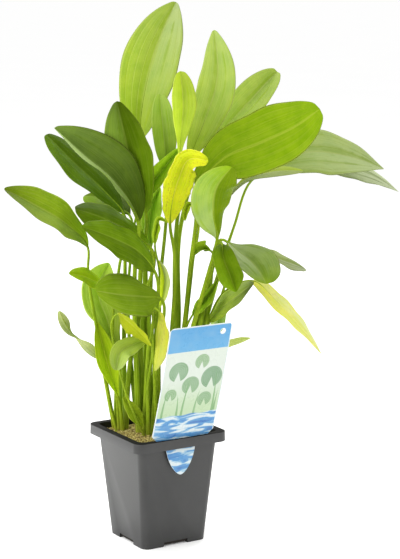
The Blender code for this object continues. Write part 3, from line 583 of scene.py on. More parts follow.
def scatter_grains():
    """Copies of the grain all over the crust, each with its own mesh, joined in one piece."""
    chance = np.random.default_rng(12)
    grain_points, grain_faces = model_grain()
    places, shades = [], []
    reach = CRUST_SIDE / 2 - GRAIN_MARGIN
    for _ in range(GRAIN_COUNT):
        x, y = chance.uniform(-reach, reach, 2)
        size = chance.uniform(*GRAIN_SIZES) * chance.uniform(0.5, 1.0)
        stretch = np.array((1.0, chance.uniform(0.6, 1.0), chance.uniform(0.5, 0.9)))
        is_fibre = chance.uniform() < FIBRE_SHARE
        if is_fibre:
            stretch = np.array(FIBRE_STRETCH)
        lump = (grain_points * stretch) @ random_turn(chance).T * size
        if is_fibre:
            lump[:, 2] *= FIBRE_FLATNESS
        places.append(lump + np.array((x, y, soil_height(x, y) + size * 0.25)))
        shades.append(chance.uniform())
    count = len(grain_points)
    faces = np.concatenate([grain_faces + count * i for i in range(GRAIN_COUNT)])
    mesh = bpy.data.meshes.new("soil_grains")
    mesh.from_pydata(np.concatenate(places).tolist(), [], faces.tolist())
    shade = mesh.attributes.new("shade", "FLOAT", "POINT")
    shade.data.foreach_set("value", np.repeat(shades, count))
    piece = bpy.data.objects.new("soil_grains", mesh)
    bpy.context.scene.collection.objects.link(piece)
    return piece


grains = scatter_grains()
print("grains:", len(grains.data.polygons), "faces")

# %% [markdown]
# ## The soil's finish
# Damp peat is dark brown, the sand in it khaki to straw-coloured. The crust mixes the two in clumps,
# and lower down the soil is damp and nearly black, which shows through the drain notches. Each grain
# reads its own shade, an attribute from 0 to 1, and takes its colour from a row of five.

# %% Finishes of the crust and the grains
SOIL_DARK = (0.150, 0.100, 0.030)
SOIL_KHAKI = (0.520, 0.430, 0.130)
SOIL_DAMP = (0.012, 0.009, 0.005)
DAMP_FROM = 0.090
DAMP_TO = 0.075
# From dark peat to pale sand, each with its place in the row
GRAIN_COLOURS = ((0.0, (0.110, 0.070, 0.022)), (0.25, (0.32, 0.23, 0.065)),
                 (0.55, (0.55, 0.45, 0.13)), (0.8, (0.66, 0.57, 0.18)),
                 (1.0, (0.800, 0.700, 0.330)))


def crust_finish():
    finish, tree, shader = new_finish("soil", 0.95)
    place = own_place(tree)
    clumps = grain(place, 160.0, 3.0, 0.6)
    crumbs = grain(place, 1100.0, 3.0, 0.65)
    colour = (clumps * 0.6 + crumbs * 0.4).fade(0.36, 0.62).mix(SOIL_DARK, SOIL_KHAKI)
    darker_below = axes(place)[2].fade(DAMP_FROM, DAMP_TO)
    wire(darker_below.mix(colour, SOIL_DAMP), shader.inputs["Base Color"])
    bump(shader, crumbs, 0.0006)
    return finish


def grain_finish():
    finish, tree, shader = new_finish("soil_grain", 0.85)
    shade = add(tree, "Attribute", attribute_name="shade").outputs["Fac"]
    colours = add(tree, "ValToRGB", {"Fac": shade})
    stops = colours.color_ramp.elements
    for stop, _ in GRAIN_COLOURS[1:-1]:
        stops.new(stop)
    for stop, (_, colour) in zip(stops, GRAIN_COLOURS):
        stop.color = (*colour, 1.0)
    specks = grain(own_place(tree), 2500.0)
    wire(specks.fade(0.4, 0.7, 0.0, 0.4).mix(colours.outputs["Color"], SOIL_DARK),
         shader.inputs["Base Color"])
    bump(shader, specks, 0.0002)
    return finish


soil_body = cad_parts["soil"]
soil_body.data.materials.clear()
soil_body.data.materials.append(crust_finish())
hand_over(crust, "soil", soil_body.data.materials[0])
hand_over(grains, "soil", grain_finish())

# %% [markdown]
# ## The label
# A plant tag is cut from a printed plastic sheet half a millimetre thick: a card with rounded top
# corners, a punched hole, and a tongue that goes through a slot in the pot's rim. The outline is
# drawn once, as a flat curve with the hole as a second ring. The sheet is then sliced into bands, so
# that it can bend softly where it leaves the slot and bow a little towards its top.

# %% The label's outline
CARD_WIDTH = 0.0616
CARD_HEIGHT = 0.1110
CARD_CORNER = 0.0045
CARD_CHAMFER = 0.0060
CARD_SIDE = 0.0002
CARD_LEAN = math.radians(17.5)
LABEL_SHEET = 0.0005
LABEL_BANDS = 60
TONGUE_WIDTH = 0.0306
TONGUE_LENGTH = 0.0320
TONGUE_SIDE = -0.0010
TONGUE_PLACE = 0.0421
TONGUE_FULLNESS = 1.60
TONGUE_POINT = 0.52
TONGUE_STEPS = 32
HOLE_RADIUS = 0.0022
HOLE_PLACE = (0.0225, 0.1035)
BEND_REACH = 0.0040
CARD_BOW = 0.0012


def arc(middle, radius, start, end, steps=10):
    """Points along part of a circle, from one angle in degrees to another."""
    angles = [math.radians(start + (end - start) * step / steps) for step in range(steps + 1)]
    return [(middle[0] + radius * math.cos(angle), middle[1] + radius * math.sin(angle))
            for angle in angles]


def label_outline():
    """The flat sheet's outline, against the clock, with the bend between card and tongue at 0."""
    left = CARD_SIDE - CARD_WIDTH / 2
    right = CARD_SIDE + CARD_WIDTH / 2
    round_height = CARD_HEIGHT - CARD_CORNER
    outline = [(TONGUE_SIDE + TONGUE_WIDTH / 2, 0.0), (right - CARD_CHAMFER, 0.0),
               (right, CARD_CHAMFER)]
    outline += arc((right - CARD_CORNER, round_height), CARD_CORNER, 0, 90)
    outline += arc((left + CARD_CORNER, round_height), CARD_CORNER, 90, 180)
    outline += [(left, CARD_CHAMFER), (left + CARD_CHAMFER, 0.0),
                (TONGUE_SIDE - TONGUE_WIDTH / 2, 0.0)]
    for along in np.linspace(-1.0, 1.0, TONGUE_STEPS + 1)[1:-1]:
        depth = TONGUE_LENGTH * (1.0 - abs(along) ** TONGUE_FULLNESS) ** TONGUE_POINT
        outline.append((TONGUE_SIDE + along * TONGUE_WIDTH / 2, -depth))
    return outline


def flat_label():
    """The outline and the hole as a filled curve, made a mesh with the sheet's thickness."""
    curve = bpy.data.curves.new("label_sheet", "CURVE")
    curve.dimensions = "2D"
    curve.fill_mode = "BOTH"
    curve.extrude = LABEL_SHEET / 2
    hole = arc(HOLE_PLACE, HOLE_RADIUS, 360, 0, 24)[:-1]
    for ring in (label_outline(), hole):
        spline = curve.splines.new("POLY")
        spline.points.add(len(ring) - 1)
        for point, (across, up) in zip(spline.points, ring):
            point.co = (across, up, 0.0, 1.0)
        spline.use_cyclic_u = True
    sheet = bpy.data.objects.new("label_sheet", curve)
    bpy.context.scene.collection.objects.link(sheet)
    work_on(sheet)
    bpy.ops.object.convert(target="MESH")
    return bpy.context.object


# %% Slice, map and bend the label
def bent(up):
    """How far out and how high the sheet is at this length from the bend, and its turn there.

    The tongue is straight, then the sheet follows an arc, and then the card runs on with a bow.
    """
    if up <= -BEND_REACH:
        return 0.0, up, 0.0
    turn = CARD_LEAN * min((up + BEND_REACH) / (2 * BEND_REACH), 1.0)
    radius = 2 * BEND_REACH / CARD_LEAN
    out = radius * (1.0 - math.cos(turn))
    high = radius * math.sin(turn) - BEND_REACH
    run = max(up - BEND_REACH, 0.0)
    bow = CARD_BOW * math.sin(math.pi * run / (CARD_HEIGHT - BEND_REACH))
    return (out + run * math.sin(turn) + bow * math.cos(turn),
            high + run * math.cos(turn) - bow * math.sin(turn), turn)


def bend_label(label):
    """Lift the flat sheet upright, with its printed side towards -Y, and bend it."""
    for vertex in label.data.vertices:
        across, up, thick = vertex.co
        out, high, turn = bent(up)
        vertex.co = (across, -TONGUE_PLACE - out - thick * math.cos(turn),
                     POT_HEIGHT + high - thick * math.sin(turn))
    label.data.update()


def make_label():
    label = flat_label()
    label.name = "label_card"
    work_on(label, "EDIT")
    bpy.ops.mesh.select_all(action="SELECT")
    bpy.ops.mesh.remove_doubles(threshold=SAME_PLACE)
    for up in np.linspace(-TONGUE_LENGTH, CARD_HEIGHT, LABEL_BANDS + 1)[1:-1]:
        bpy.ops.mesh.select_all(action="SELECT")
        bpy.ops.mesh.bisect(plane_co=(0.0, up, 0.0), plane_no=(0.0, 1.0, 0.0))
    bpy.ops.object.mode_set(mode="OBJECT")
    chart = label.data.uv_layers.new(name="print")
    for loop in label.data.loops:
        across, up, _ = label.data.vertices[loop.vertex_index].co
        chart.data[loop.index].uv = ((across - CARD_SIDE) / CARD_WIDTH + 0.5, up / CARD_HEIGHT)
    fronts = [face.normal.z > 0.5 for face in label.data.polygons]
    bend_label(label)
    return label, fronts


label, label_fronts = make_label()
print("label:", len(label.data.polygons), "faces,", sum(label_fronts), "of them printed")

# %% [markdown]
# ## The label's print
# The card carries a plain print in the colours that such tags have: a blue band at the top, a pale
# middle with floating round leaves and reeds, and water with pale ripples at the foot and on the
# tongue. All of it is drawn by sums on the card's own chart, where x runs from 0 to 1 across and y
# from 0 to 1 up the card, so that every edge stays sharp. The corners are rounded in real lengths.

# %% Helpers for the print
HEADER_FOOT = 0.790
HEADER_SOFTNESS = 0.002
WATER_TOP = 0.225
WATER_SOFTNESS = 0.004
BORDER = 0.0011
PRINT_EDGE = 0.0002
RING_WIDTH = 0.0007
PRINT_SHARE = 0.85
REED_SHARE = 0.8
REED_WIDTH = 0.022
HEADER_BLUE = (0.072, 0.280, 0.520)
HEADER_PALE = (0.095, 0.320, 0.550)
PAPER = (0.545, 0.600, 0.530)
PALE_GREEN = (0.400, 0.520, 0.320)
PAD_LIGHT = (0.230, 0.380, 0.170)
PAD_DEEP = (0.085, 0.220, 0.090)
REED_GREEN = (0.130, 0.290, 0.100)
WATER_BLUE = (0.070, 0.240, 0.480)
WATER_DEEP = (0.030, 0.140, 0.380)
WATER_PALE = (0.270, 0.440, 0.560)
FOAM = (0.530, 0.600, 0.620)
BACK_SHADES = ((0.80, 0.82, 0.80), (0.88, 0.89, 0.88))
# The floating leaves: middle across and up the card, radius, and how deep their green is
PADS = ((0.24, 0.62, 0.0095, 0.75), (0.60, 0.69, 0.0070, 0.35), (0.80, 0.54, 0.0105, 0.95),
        (0.47, 0.49, 0.0085, 0.60), (0.17, 0.42, 0.0060, 0.40), (0.74, 0.35, 0.0070, 0.55))
# The reeds: foot across the card, how far the tip leans, and how high it reaches
REEDS = ((0.08, 0.05, 0.52), (0.32, -0.04, 0.44), (0.40, 0.07, 0.60), (0.60, 0.06, 0.47),
         (0.90, -0.05, 0.66), (0.93, 0.02, 0.44))


def distance(across, up):
    return (across * across + up * up).maths("SQRT")


def inside_pad(x, y, pad):
    """1 inside a floating leaf, with a narrow notch that points down, and 0 outside. And its ribs."""
    across = (x - pad[0]) * CARD_WIDTH
    up = (y - pad[1]) * CARD_HEIGHT
    reach = distance(across, up)
    disc = reach.fade(pad[2] + PRINT_EDGE, pad[2] - PRINT_EDGE)
    notch = (abs(across) + up * 0.35).fade(-PRINT_EDGE, PRINT_EDGE)
    return disc * notch, (reach * 3500.0).maths("SINE")


def inside_reed(x, y, reed):
    """1 inside a slender reed that rises from the water and leans, and 0 outside."""
    foot, lean, top = reed
    rise = (y - WATER_TOP) / (top - WATER_TOP)
    off = abs(x - (rise * rise * lean + foot))
    return ((1.0 - rise) * REED_WIDTH - off).fade(0.0, 0.004)


def water(x, y):
    """Blue water with long pale ripples and deeper troughs, as streaks that run across."""
    sway = (x * 6.0).maths("SINE") * 0.25
    swell = streaks_along(x * 3.2, y * 27.0 + sway, detail=1.5, distortion=0.6)
    wet = swell.fade(0.44, 0.30).mix(WATER_BLUE, WATER_DEEP)
    wet = swell.fade(0.47, 0.51).mix(wet, WATER_PALE)
    return swell.fade(0.53, 0.57).mix(wet, FOAM)


# %% The printed side and the plain back
def print_finish():
    finish, tree, shader = new_finish("label_print", 0.30)
    x, y = chart_numbers(tree, "print")
    colour = y.fade(0.25, 0.60).mix(PALE_GREEN, PAPER)
    for pad in PADS:
        disc, ribs = inside_pad(x, y, pad)
        green = [light + (deep - light) * pad[3] for light, deep in zip(PAD_LIGHT, PAD_DEEP)]
        green = ribs.fade(0.5, 1.0, 0.0, 0.25).mix(green, PAPER)
        colour = (disc * PRINT_SHARE).mix(colour, green)
    for reed in REEDS:
        colour = (inside_reed(x, y, reed) * REED_SHARE).mix(colour, REED_GREEN)
    shore = y + (x * 19.0).maths("SINE") * 0.005
    wet = shore.fade(WATER_TOP + WATER_SOFTNESS, WATER_TOP - WATER_SOFTNESS)
    colour = wet.mix(colour, water(x, y))
    header = y.fade(HEADER_FOOT - HEADER_SOFTNESS, HEADER_FOOT + HEADER_SOFTNESS)
    colour = header.mix(colour, y.fade(HEADER_FOOT, 1.0).mix(HEADER_PALE, HEADER_BLUE))
    from_edge = ((0.5 - abs(x - 0.5)) * CARD_WIDTH).maths("MINIMUM", (1.0 - y) * CARD_HEIGHT)
    rim = from_edge.fade(BORDER, BORDER - 2 * PRINT_EDGE) * y.fade(0.0, 0.01)
    from_hole = distance((x - 0.5) * CARD_WIDTH - (HOLE_PLACE[0] - CARD_SIDE),
                         y * CARD_HEIGHT - HOLE_PLACE[1])
    outer = HOLE_RADIUS + RING_WIDTH
    ring = from_hole.fade(outer + PRINT_EDGE / 2, outer - PRINT_EDGE / 2)
    colour = rim.maths("MAXIMUM", ring).mix(colour, FOAM)
    place = own_place(tree)
    haze = grain(place, 90.0, 3.0)
    wire(haze.fade(0.4, 0.8, 0.0, 0.10).mix(colour, PAPER), shader.inputs["Base Color"])
    wire(haze.fade(0.3, 0.7, 0.24, 0.36), shader.inputs["Roughness"])
    bump(shader, grain(place, 700.0), 0.00008, 0.3)
    return finish


def back_finish():
    finish, tree, shader = new_finish("label_back", 0.40)
    place = own_place(tree)
    wire(grain(place, 120.0, 3.0).mix(*BACK_SHADES), shader.inputs["Base Color"])
    bump(shader, grain(place, 900.0), 0.00006, 0.3)
    return finish


hand_over(label, "label_card", print_finish(), "label")
label.data.materials.append(back_finish())
label.data.polygons.foreach_set("material_index", [0 if front else 1 for front in label_fronts])
print("label finished with", len(label.data.materials), "materials")

# %% [markdown]
# ## How a leaf is described
# A leaf of this plant is one grown piece: a ribbed stalk that runs on as the midrib of a blade. Each
# one is noted down, as a gardener would describe it: where it stands in the soil, how thick its
# stalk is, how wide its blade, and which places its stalk and midrib pass. A place is where it
# shows in the picture, across and down in pixels, and how far it lies behind the pot's middle, in
# metres. The last values tell its look: how light it is, which paints in the light and shade on each
# half along with its own tone, how warm or yellow, and how much painted sheen its left and right half
# have.

# %% The list of leaves
LEAVES = {}


def leaf(name, finish, foot, stem, width, shows, neck, lower, upper, tip, middle=None,
         stalk_low=None, stalk_mid=None, stalk_high=None, lean=(-1, -1), widest=0.5,
         ends=(0.9, 0.7), twist=0.0, light=(1.0, 1.0), rise=0.0, warm=0.0, painted_sheen=(0.0, 0.0),
         painted_sheen_rise=0.0, ragged=0.0):
    """Note down one leaf.

    foot    where its stalk stands on the soil, across and away, and stem its radius there
    width   the real width of its blade
    shows   how wide the left and the right half look in the picture, in pixels
    lean    for the left and the right half, 1 where the margin lies further away than the midrib
    widest  where along the blade it is widest, and ends how blunt its base and its tip are
    twist   how far the blade turns about its midrib from neck to tip, in degrees
    light   how light its left and right half are, painted light and shade with their own tone, and
        rise how much that grows towards the tip
    painted_sheen   how much painted sheen, a pale greyish glare, its left and right half have, and
        painted_sheen_rise how much that grows to the tip
    ragged  how deep a withered margin is eaten away, as a share of the half's width
    """
    passed = [place for place in (stalk_low, stalk_mid, stalk_high) if place]
    midrib = [place for place in (neck, lower, middle, upper, tip) if place]
    LEAVES[name] = {"finish": finish, "foot": foot, "stem": stem, "width": width, "shows": shows,
                    "stalk": passed, "blade": midrib, "lean": lean, "widest": widest,
                    "ends": ends, "twist": math.radians(twist), "light": light, "rise": rise,
                    "warm": warm, "painted_sheen": painted_sheen, "painted_sheen_rise": painted_sheen_rise, "ragged": ragged}


# %% The tall leaves that stand behind the middle
leaf("leaf_01", "leaf_pale", foot=(-0.011, 0.009), stem=0.0032, width=0.056, shows=(29.5, 26.5),
     stalk_low=(146, 380, 0.012), stalk_high=(145, 265, 0.014), neck=(139, 140, 0.024),
     lower=(143.5, 100, 0.036), upper=(155.5, 51, 0.054), tip=(176, 2, 0.074),
     ends=(0.6, 0.7), light=(1.0, 0.8), rise=-0.2, painted_sheen=(0.05, 0.15), painted_sheen_rise=1.0)
leaf("leaf_02", "leaf_pale", foot=(-0.004, 0.009), stem=0.0024, width=0.024, shows=(11, 13),
     neck=(167, 184, 0.012), lower=(165, 150, 0.014), upper=(162, 118, 0.020), tip=(160, 94, 0.028),
     widest=0.55, ends=(1.0, 0.42), light=(1.1, 0.9), warm=-0.1, painted_sheen=(0.05, 0.05), painted_sheen_rise=1.0)
leaf("leaf_03", "leaf_lime", foot=(0.005, 0.003), stem=0.0024, width=0.026, shows=(11, 13.5),
     stalk_low=(176, 330, 0.002), stalk_high=(176.5, 240, 0.002), neck=(179, 172, 0.000),
     lower=(180.5, 140, 0.002), upper=(183, 105, 0.002), tip=(180, 71, -0.004),
     widest=0.68, ends=(1.0, 0.42), light=(1.5, 1.0), rise=-0.2, warm=-0.1, painted_sheen=(0.05, 0.05))
leaf("leaf_04", "leaf_pale", foot=(0.007, 0.009), stem=0.0028, width=0.039, shows=(18.5, 20),
     stalk_low=(174, 330, 0.010), stalk_high=(178, 215, 0.012), neck=(188, 163, 0.016),
     lower=(203, 125, 0.026), upper=(217, 80, 0.038), tip=(214, 30, 0.052),
     ends=(0.85, 0.7), light=(1.0, 0.9), painted_sheen=(0.1, 0.1), painted_sheen_rise=1.0)
leaf("leaf_05", "leaf_pale", foot=(0.011, 0.013), stem=0.0030, width=0.038, shows=(18.5, 15),
     stalk_low=(178, 330, 0.016), stalk_high=(181, 225, 0.024), neck=(199, 165, 0.040),
     lower=(228, 126, 0.062), upper=(253, 97.5, 0.084), tip=(277, 71.5, 0.106),
     widest=0.58, ends=(0.8, 0.5), light=(1.1, 1.1), rise=-0.2, painted_sheen=(0.1, 0.15))

# %% The leaves that lean or hang to the right
leaf("leaf_06", "leaf_bright", foot=(0.009, -0.001), stem=0.0031, width=0.062, shows=(32, 29.5),
     stalk_low=(185, 322, -0.004), stalk_mid=(191, 262, -0.005), stalk_high=(196, 222, -0.006),
     neck=(198, 190, -0.006), lower=(222, 160, -0.012), middle=(263, 142, -0.022),
     upper=(298, 125, -0.028), tip=(320, 109, -0.031),
     lean=(1, -1), widest=0.58, ends=(0.5, 0.46), light=(0.7, 0.7), rise=0.2, warm=0.1)
leaf("leaf_07", "leaf_pale", foot=(0.015, 0.012), stem=0.0019, width=0.050, shows=(22, 22),
     stalk_low=(205, 325, 0.020), stalk_mid=(234.5, 225, 0.035), stalk_high=(251, 181, 0.044),
     neck=(262, 171, 0.050), lower=(312, 152, 0.062), upper=(350, 157, 0.072),
     tip=(384, 169, 0.080),
     lean=(1, -1), widest=0.45, ends=(0.9, 1.0), light=(0.6, 0.6), rise=-0.2, painted_sheen=(0.2, 0.25),
     painted_sheen_rise=0.5)
leaf("leaf_08", "leaf_pale", foot=(0.012, 0.017), stem=0.0018, width=0.030, shows=(9, 10),
     stalk_low=(202, 325, 0.026), stalk_mid=(233.5, 228, 0.046), stalk_high=(252, 180, 0.060),
     neck=(300, 168, 0.084), lower=(340, 166, 0.098), upper=(370, 175, 0.108),
     tip=(399, 192, 0.114),
     lean=(1, -1), widest=0.45, ends=(0.9, 1.1), light=(0.4, 0.3), rise=-0.6, painted_sheen=(0.45, 0.4),
     painted_sheen_rise=0.5)
leaf("leaf_09", "leaf_pale", foot=(0.014, 0.003), stem=0.0025, width=0.030, shows=(5.5, 5),
     stalk_low=(196, 330, 0.004), stalk_high=(211, 268, 0.004), neck=(217, 240, 0.002),
     lower=(225, 204, 0.006), middle=(244, 181, 0.010), upper=(273, 172, 0.014),
     tip=(303, 171, 0.016),
     lean=(1, -1), widest=0.7, ends=(2.2, 0.5), light=(0.8, 0.5), rise=0.2, warm=0.2,
     painted_sheen=(0.1, 0.3), painted_sheen_rise=-0.5)
leaf("leaf_10", "leaf_bright", foot=(0.011, -0.005), stem=0.0029, width=0.040, shows=(22, 19),
     stalk_low=(192, 330, -0.014), stalk_high=(210, 268, -0.021), neck=(217, 240, -0.027),
     lower=(213, 214, -0.042), upper=(216, 188, -0.060), tip=(232, 167, -0.075),
     lean=(-1, 1), widest=0.55, ends=(0.8, 0.6), light=(1.0, 0.6), warm=0.1, painted_sheen=(0.15, 0.0),
     painted_sheen_rise=-1.0)
leaf("leaf_29", "leaf_mid", foot=(0.016, -0.004), stem=0.0024, width=0.046, shows=(23, 16),
     stalk_mid=(205, 325, -0.008), neck=(224, 240, -0.018), lower=(238, 251, -0.032),
     upper=(254, 265, -0.048), tip=(266, 284, -0.060),
     lean=(1, -1), widest=0.62, ends=(1.3, 0.42), light=(0.7, 0.7), rise=0.2, painted_sheen=(0.15, 0.3),
     painted_sheen_rise=-1.0)
leaf("leaf_30", "leaf_bright", foot=(0.013, -0.008), stem=0.0024, width=0.030, shows=(13, 12),
     stalk_mid=(200, 325, -0.010), neck=(222, 244, 0.000), lower=(223, 256, -0.009),
     upper=(230, 275, -0.025), tip=(236, 292, -0.036),
     ends=(0.9, 0.6), light=(0.5, 0.7), rise=0.4)
leaf("leaf_31", "leaf_pale", foot=(0.019, 0.012), stem=0.0020, width=0.034, shows=(6.5, 5.5),
     stalk_mid=(212, 325, 0.014), neck=(246, 256, 0.022), lower=(266, 256, 0.032),
     upper=(288, 262.5, 0.044), tip=(306, 269.5, 0.054),
     lean=(1, -1), widest=0.55, ends=(1.6, 0.7), light=(0.5, 0.3), rise=-0.4, warm=0.1,
     painted_sheen=(0.2, 0.25), painted_sheen_rise=0.5)
leaf("leaf_32", "leaf_mid", foot=(0.018, 0.000), stem=0.0021, width=0.034, shows=(10, 8),
     neck=(209, 323, -0.002), lower=(224, 306, -0.012), upper=(240, 294, -0.022),
     tip=(254, 283, -0.030),
     lean=(1, -1), light=(1.3, 1.0), rise=-0.6, warm=0.2, painted_sheen=(0.1, 0.05), painted_sheen_rise=1.0)
leaf("leaf_33", "leaf_mid", foot=(0.007, -0.009), stem=0.0018, width=0.028, shows=(5.5, 7),
     neck=(192, 316, -0.007), lower=(202, 303, -0.011), upper=(211, 291, -0.014),
     tip=(218, 279, -0.016),
     light=(1.8, 1.8), rise=-0.2)
leaf("leaf_34", "leaf_yellow", foot=(0.017, 0.005), stem=0.0020, width=0.028, shows=(8.5, 7),
     stalk_low=(205, 330, 0.004), stalk_high=(226, 291, 0.004), neck=(252, 281, -0.002),
     lower=(277, 302, -0.012), upper=(302, 328.5, -0.022), tip=(322, 355, -0.030),
     lean=(1, -1), widest=0.36, ends=(0.7, 1.0), light=(0.9, 0.9), warm=0.2, painted_sheen=(0.45, 0.25),
     painted_sheen_rise=0.5, ragged=0.03)
leaf("leaf_35", "leaf_lime", foot=(0.020, 0.006), stem=0.0015, width=0.016, shows=(4, 4),
     neck=(205, 354, 0.002), lower=(222, 346, -0.004), upper=(238, 341, -0.010),
     tip=(251, 338, -0.014),
     lean=(1, -1), light=(0.9, 0.9), warm=0.1, painted_sheen=(0.3, 0.3))
leaf("leaf_36", "leaf_lime", foot=(0.016, 0.009), stem=0.0018, width=0.026, shows=(7, 7),
     neck=(206, 350, 0.010), lower=(213, 335, 0.014), upper=(219, 320, 0.018),
     tip=(226, 302, 0.024),
     light=(2.0, 2.0), warm=-0.4, painted_sheen=(0.6, 0.6))
leaf("leaf_37", "leaf_mid", foot=(0.012, 0.000), stem=0.0018, width=0.020, shows=(2.5, 8.5),
     stalk_low=(202, 325, 0.003), stalk_high=(212, 275, -0.001), neck=(211, 251, -0.006),
     lower=(205, 249.5, -0.009), upper=(199, 250.5, -0.012), tip=(191, 257, -0.014),
     light=(1.5, 1.5), warm=0.1)

# %% The withered and the small leaves of the middle clump
leaf("leaf_11", "leaf_yellow", foot=(0.003, -0.005), stem=0.0025, width=0.030, shows=(13, 17),
     stalk_low=(172, 330, -0.008), stalk_high=(174, 250, -0.010), neck=(170, 224, -0.012),
     lower=(172, 203, -0.016), middle=(178.5, 179, -0.022), upper=(189, 159.5, -0.032),
     tip=(208.5, 161, -0.042),
     widest=0.5, ends=(0.65, 0.42), light=(1.2, 1.0), ragged=0.16)
leaf("leaf_20", "leaf_lime", foot=(0.002, -0.001), stem=0.0016, width=0.016, shows=(4, 6),
     neck=(160, 308, -0.010), lower=(163, 292, -0.010), upper=(164, 277, -0.008),
     tip=(159, 260, -0.004),
     light=(1.7, 1.1), rise=-0.4, painted_sheen=(0.0, 0.3), painted_sheen_rise=0.5)
leaf("leaf_24", "leaf_pale", foot=(-0.008, -0.013), stem=0.0018, width=0.022, shows=(11, 9.5),
     neck=(148, 341, -0.040), lower=(134, 344, -0.052), upper=(121, 351, -0.060),
     tip=(116.5, 370, -0.062),
     widest=0.65, ends=(0.55, 0.5), light=(1.0, 0.9), rise=-0.2, painted_sheen=(0.1, 0.05), painted_sheen_rise=1.0,
     ragged=0.04)
leaf("leaf_25", "leaf_lime", foot=(-0.011, -0.011), stem=0.0013, width=0.024, shows=(3.5, 11),
     stalk_low=(122, 380, -0.036), stalk_mid=(114, 345, -0.042), stalk_high=(112, 321, -0.052),
     neck=(118, 314, -0.060), lower=(128, 321, -0.064), upper=(141, 333, -0.064),
     tip=(151, 346, -0.060),
     lean=(-1, 1), widest=0.38, light=(0.8, 0.7), rise=0.2, warm=0.1, ragged=0.18)
leaf("leaf_26", "leaf_yellow", foot=(0.000, -0.010), stem=0.0016, width=0.026, shows=(11, 3),
     stalk_low=(154, 370, -0.032), stalk_mid=(153, 325, -0.044), stalk_high=(154.5, 308, -0.052),
     neck=(159, 311.5, -0.056), lower=(159.5, 327, -0.061), upper=(157.5, 350, -0.063),
     tip=(154.5, 371, -0.063),
     lean=(-1, 1), ends=(0.7, 0.7), light=(0.7, 0.8), painted_sheen=(0.1, 0.05), painted_sheen_rise=0.5,
     ragged=0.06)
leaf("leaf_27", "leaf_mid", foot=(-0.008, 0.003), stem=0.0016, width=0.016, shows=(4.5, 6),
     stalk_low=(151, 365, -0.010), stalk_mid=(152.5, 330, -0.016), stalk_high=(152.5, 313, -0.020),
     neck=(150, 310, -0.024), lower=(147, 316, -0.027), upper=(146, 326, -0.028),
     tip=(148, 340, -0.028),
     light=(0.8, 0.9), rise=-0.2)
leaf("leaf_28", "leaf_lime", foot=(-0.001, 0.001), stem=0.0018, width=0.016, shows=(3.5, 4),
     stalk_low=(160, 310, -0.006), stalk_mid=(158, 262, -0.008), stalk_high=(156, 254, -0.010),
     neck=(155, 246, -0.012), lower=(156, 230, -0.016), upper=(161, 219, -0.020),
     tip=(168, 223, -0.024),
     light=(1.3, 1.0), warm=-0.2)
leaf("leaf_38", "leaf_mid", foot=(0.009, 0.004), stem=0.0018, width=0.014, shows=(3.5, 4),
     stalk_low=(186, 322, 0.002), stalk_mid=(193, 262, 0.002), stalk_high=(198, 218, 0.000),
     neck=(194, 205, -0.002), lower=(189, 205, -0.004), upper=(186, 211, -0.006),
     tip=(185, 221, -0.008),
     light=(1.7, 1.7), warm=0.3)
leaf("leaf_39", "leaf_mid", foot=(-0.007, 0.003), stem=0.0024, width=0.036, shows=(8, 11),
     stalk_mid=(149, 330, 0.004), neck=(151, 250, 0.006), lower=(149, 232, 0.012),
     upper=(151, 210, 0.018), tip=(160, 187, 0.024),
     light=(2.2, 2.2), painted_sheen=(0.05, 0.05))
leaf("leaf_40", "leaf_lime", foot=(-0.017, 0.010), stem=0.0020, width=0.032, shows=(9, 8),
     stalk_low=(133, 385, 0.010), stalk_high=(130, 265, 0.003), neck=(139, 209, 0.000),
     lower=(151, 186, 0.004), upper=(164, 168, 0.006), tip=(181, 147, 0.008),
     light=(1.5, 1.4), warm=-0.3)
leaf("leaf_42", "leaf_mid", foot=(-0.013, -0.008), stem=0.0011, width=0.018, shows=(7, 7),
     neck=(143, 427, -0.010), lower=(137, 417, -0.012), upper=(131, 408, -0.014),
     tip=(123, 397, -0.016),
     light=(1.6, 1.0), rise=-0.2, warm=0.2)

# %% The leaves that lean or hang to the left
leaf("leaf_12", "leaf_dark", foot=(-0.013, 0.003), stem=0.0031, width=0.050, shows=(25, 22.5),
     stalk_low=(141, 380, 0.002), stalk_high=(141, 265, -0.001), neck=(146, 214, -0.001),
     lower=(136, 182, -0.002), upper=(126, 142, -0.006), tip=(117, 101, -0.012),
     ends=(0.8, 0.58), light=(2.0, 1.1), rise=-0.6, painted_sheen=(0.05, 0.0))
leaf("leaf_13", "leaf_dark", foot=(-0.016, -0.006), stem=0.0031, width=0.060, shows=(2, 34),
     stalk_low=(137, 380, -0.006), stalk_high=(135, 265, -0.010), neck=(138, 222, -0.014),
     lower=(112, 181, -0.024), upper=(82, 155, -0.034), tip=(54, 128, -0.042),
     lean=(-1, 1), ends=(0.8, 0.7), light=(1.5, 0.8), rise=0.4, painted_sheen=(0.2, 0.03), painted_sheen_rise=1.0)
leaf("leaf_14", "leaf_dark", foot=(-0.028, 0.017), stem=0.0026, width=0.046, shows=(13, 16),
     stalk_low=(124, 370, 0.016), stalk_high=(125, 265, 0.008), neck=(124, 215, 0.004),
     lower=(104, 191, 0.010), upper=(76, 165, 0.018), tip=(46, 134.5, 0.026),
     lean=(-1, 1), ends=(0.9, 0.5), light=(1.0, 0.7), warm=-0.1)
leaf("leaf_15", "leaf_mid", foot=(-0.038, 0.015), stem=0.0021, width=0.042, shows=(11, 19),
     stalk_low=(97, 330, -0.004), stalk_high=(88, 270, -0.016), neck=(88, 248, -0.022),
     lower=(65, 223.5, -0.036), upper=(35, 205.5, -0.052), tip=(4, 189, -0.064),
     lean=(-1, 1), light=(1.0, 1.2), rise=-0.6, warm=0.1, painted_sheen=(0.05, 0.0))
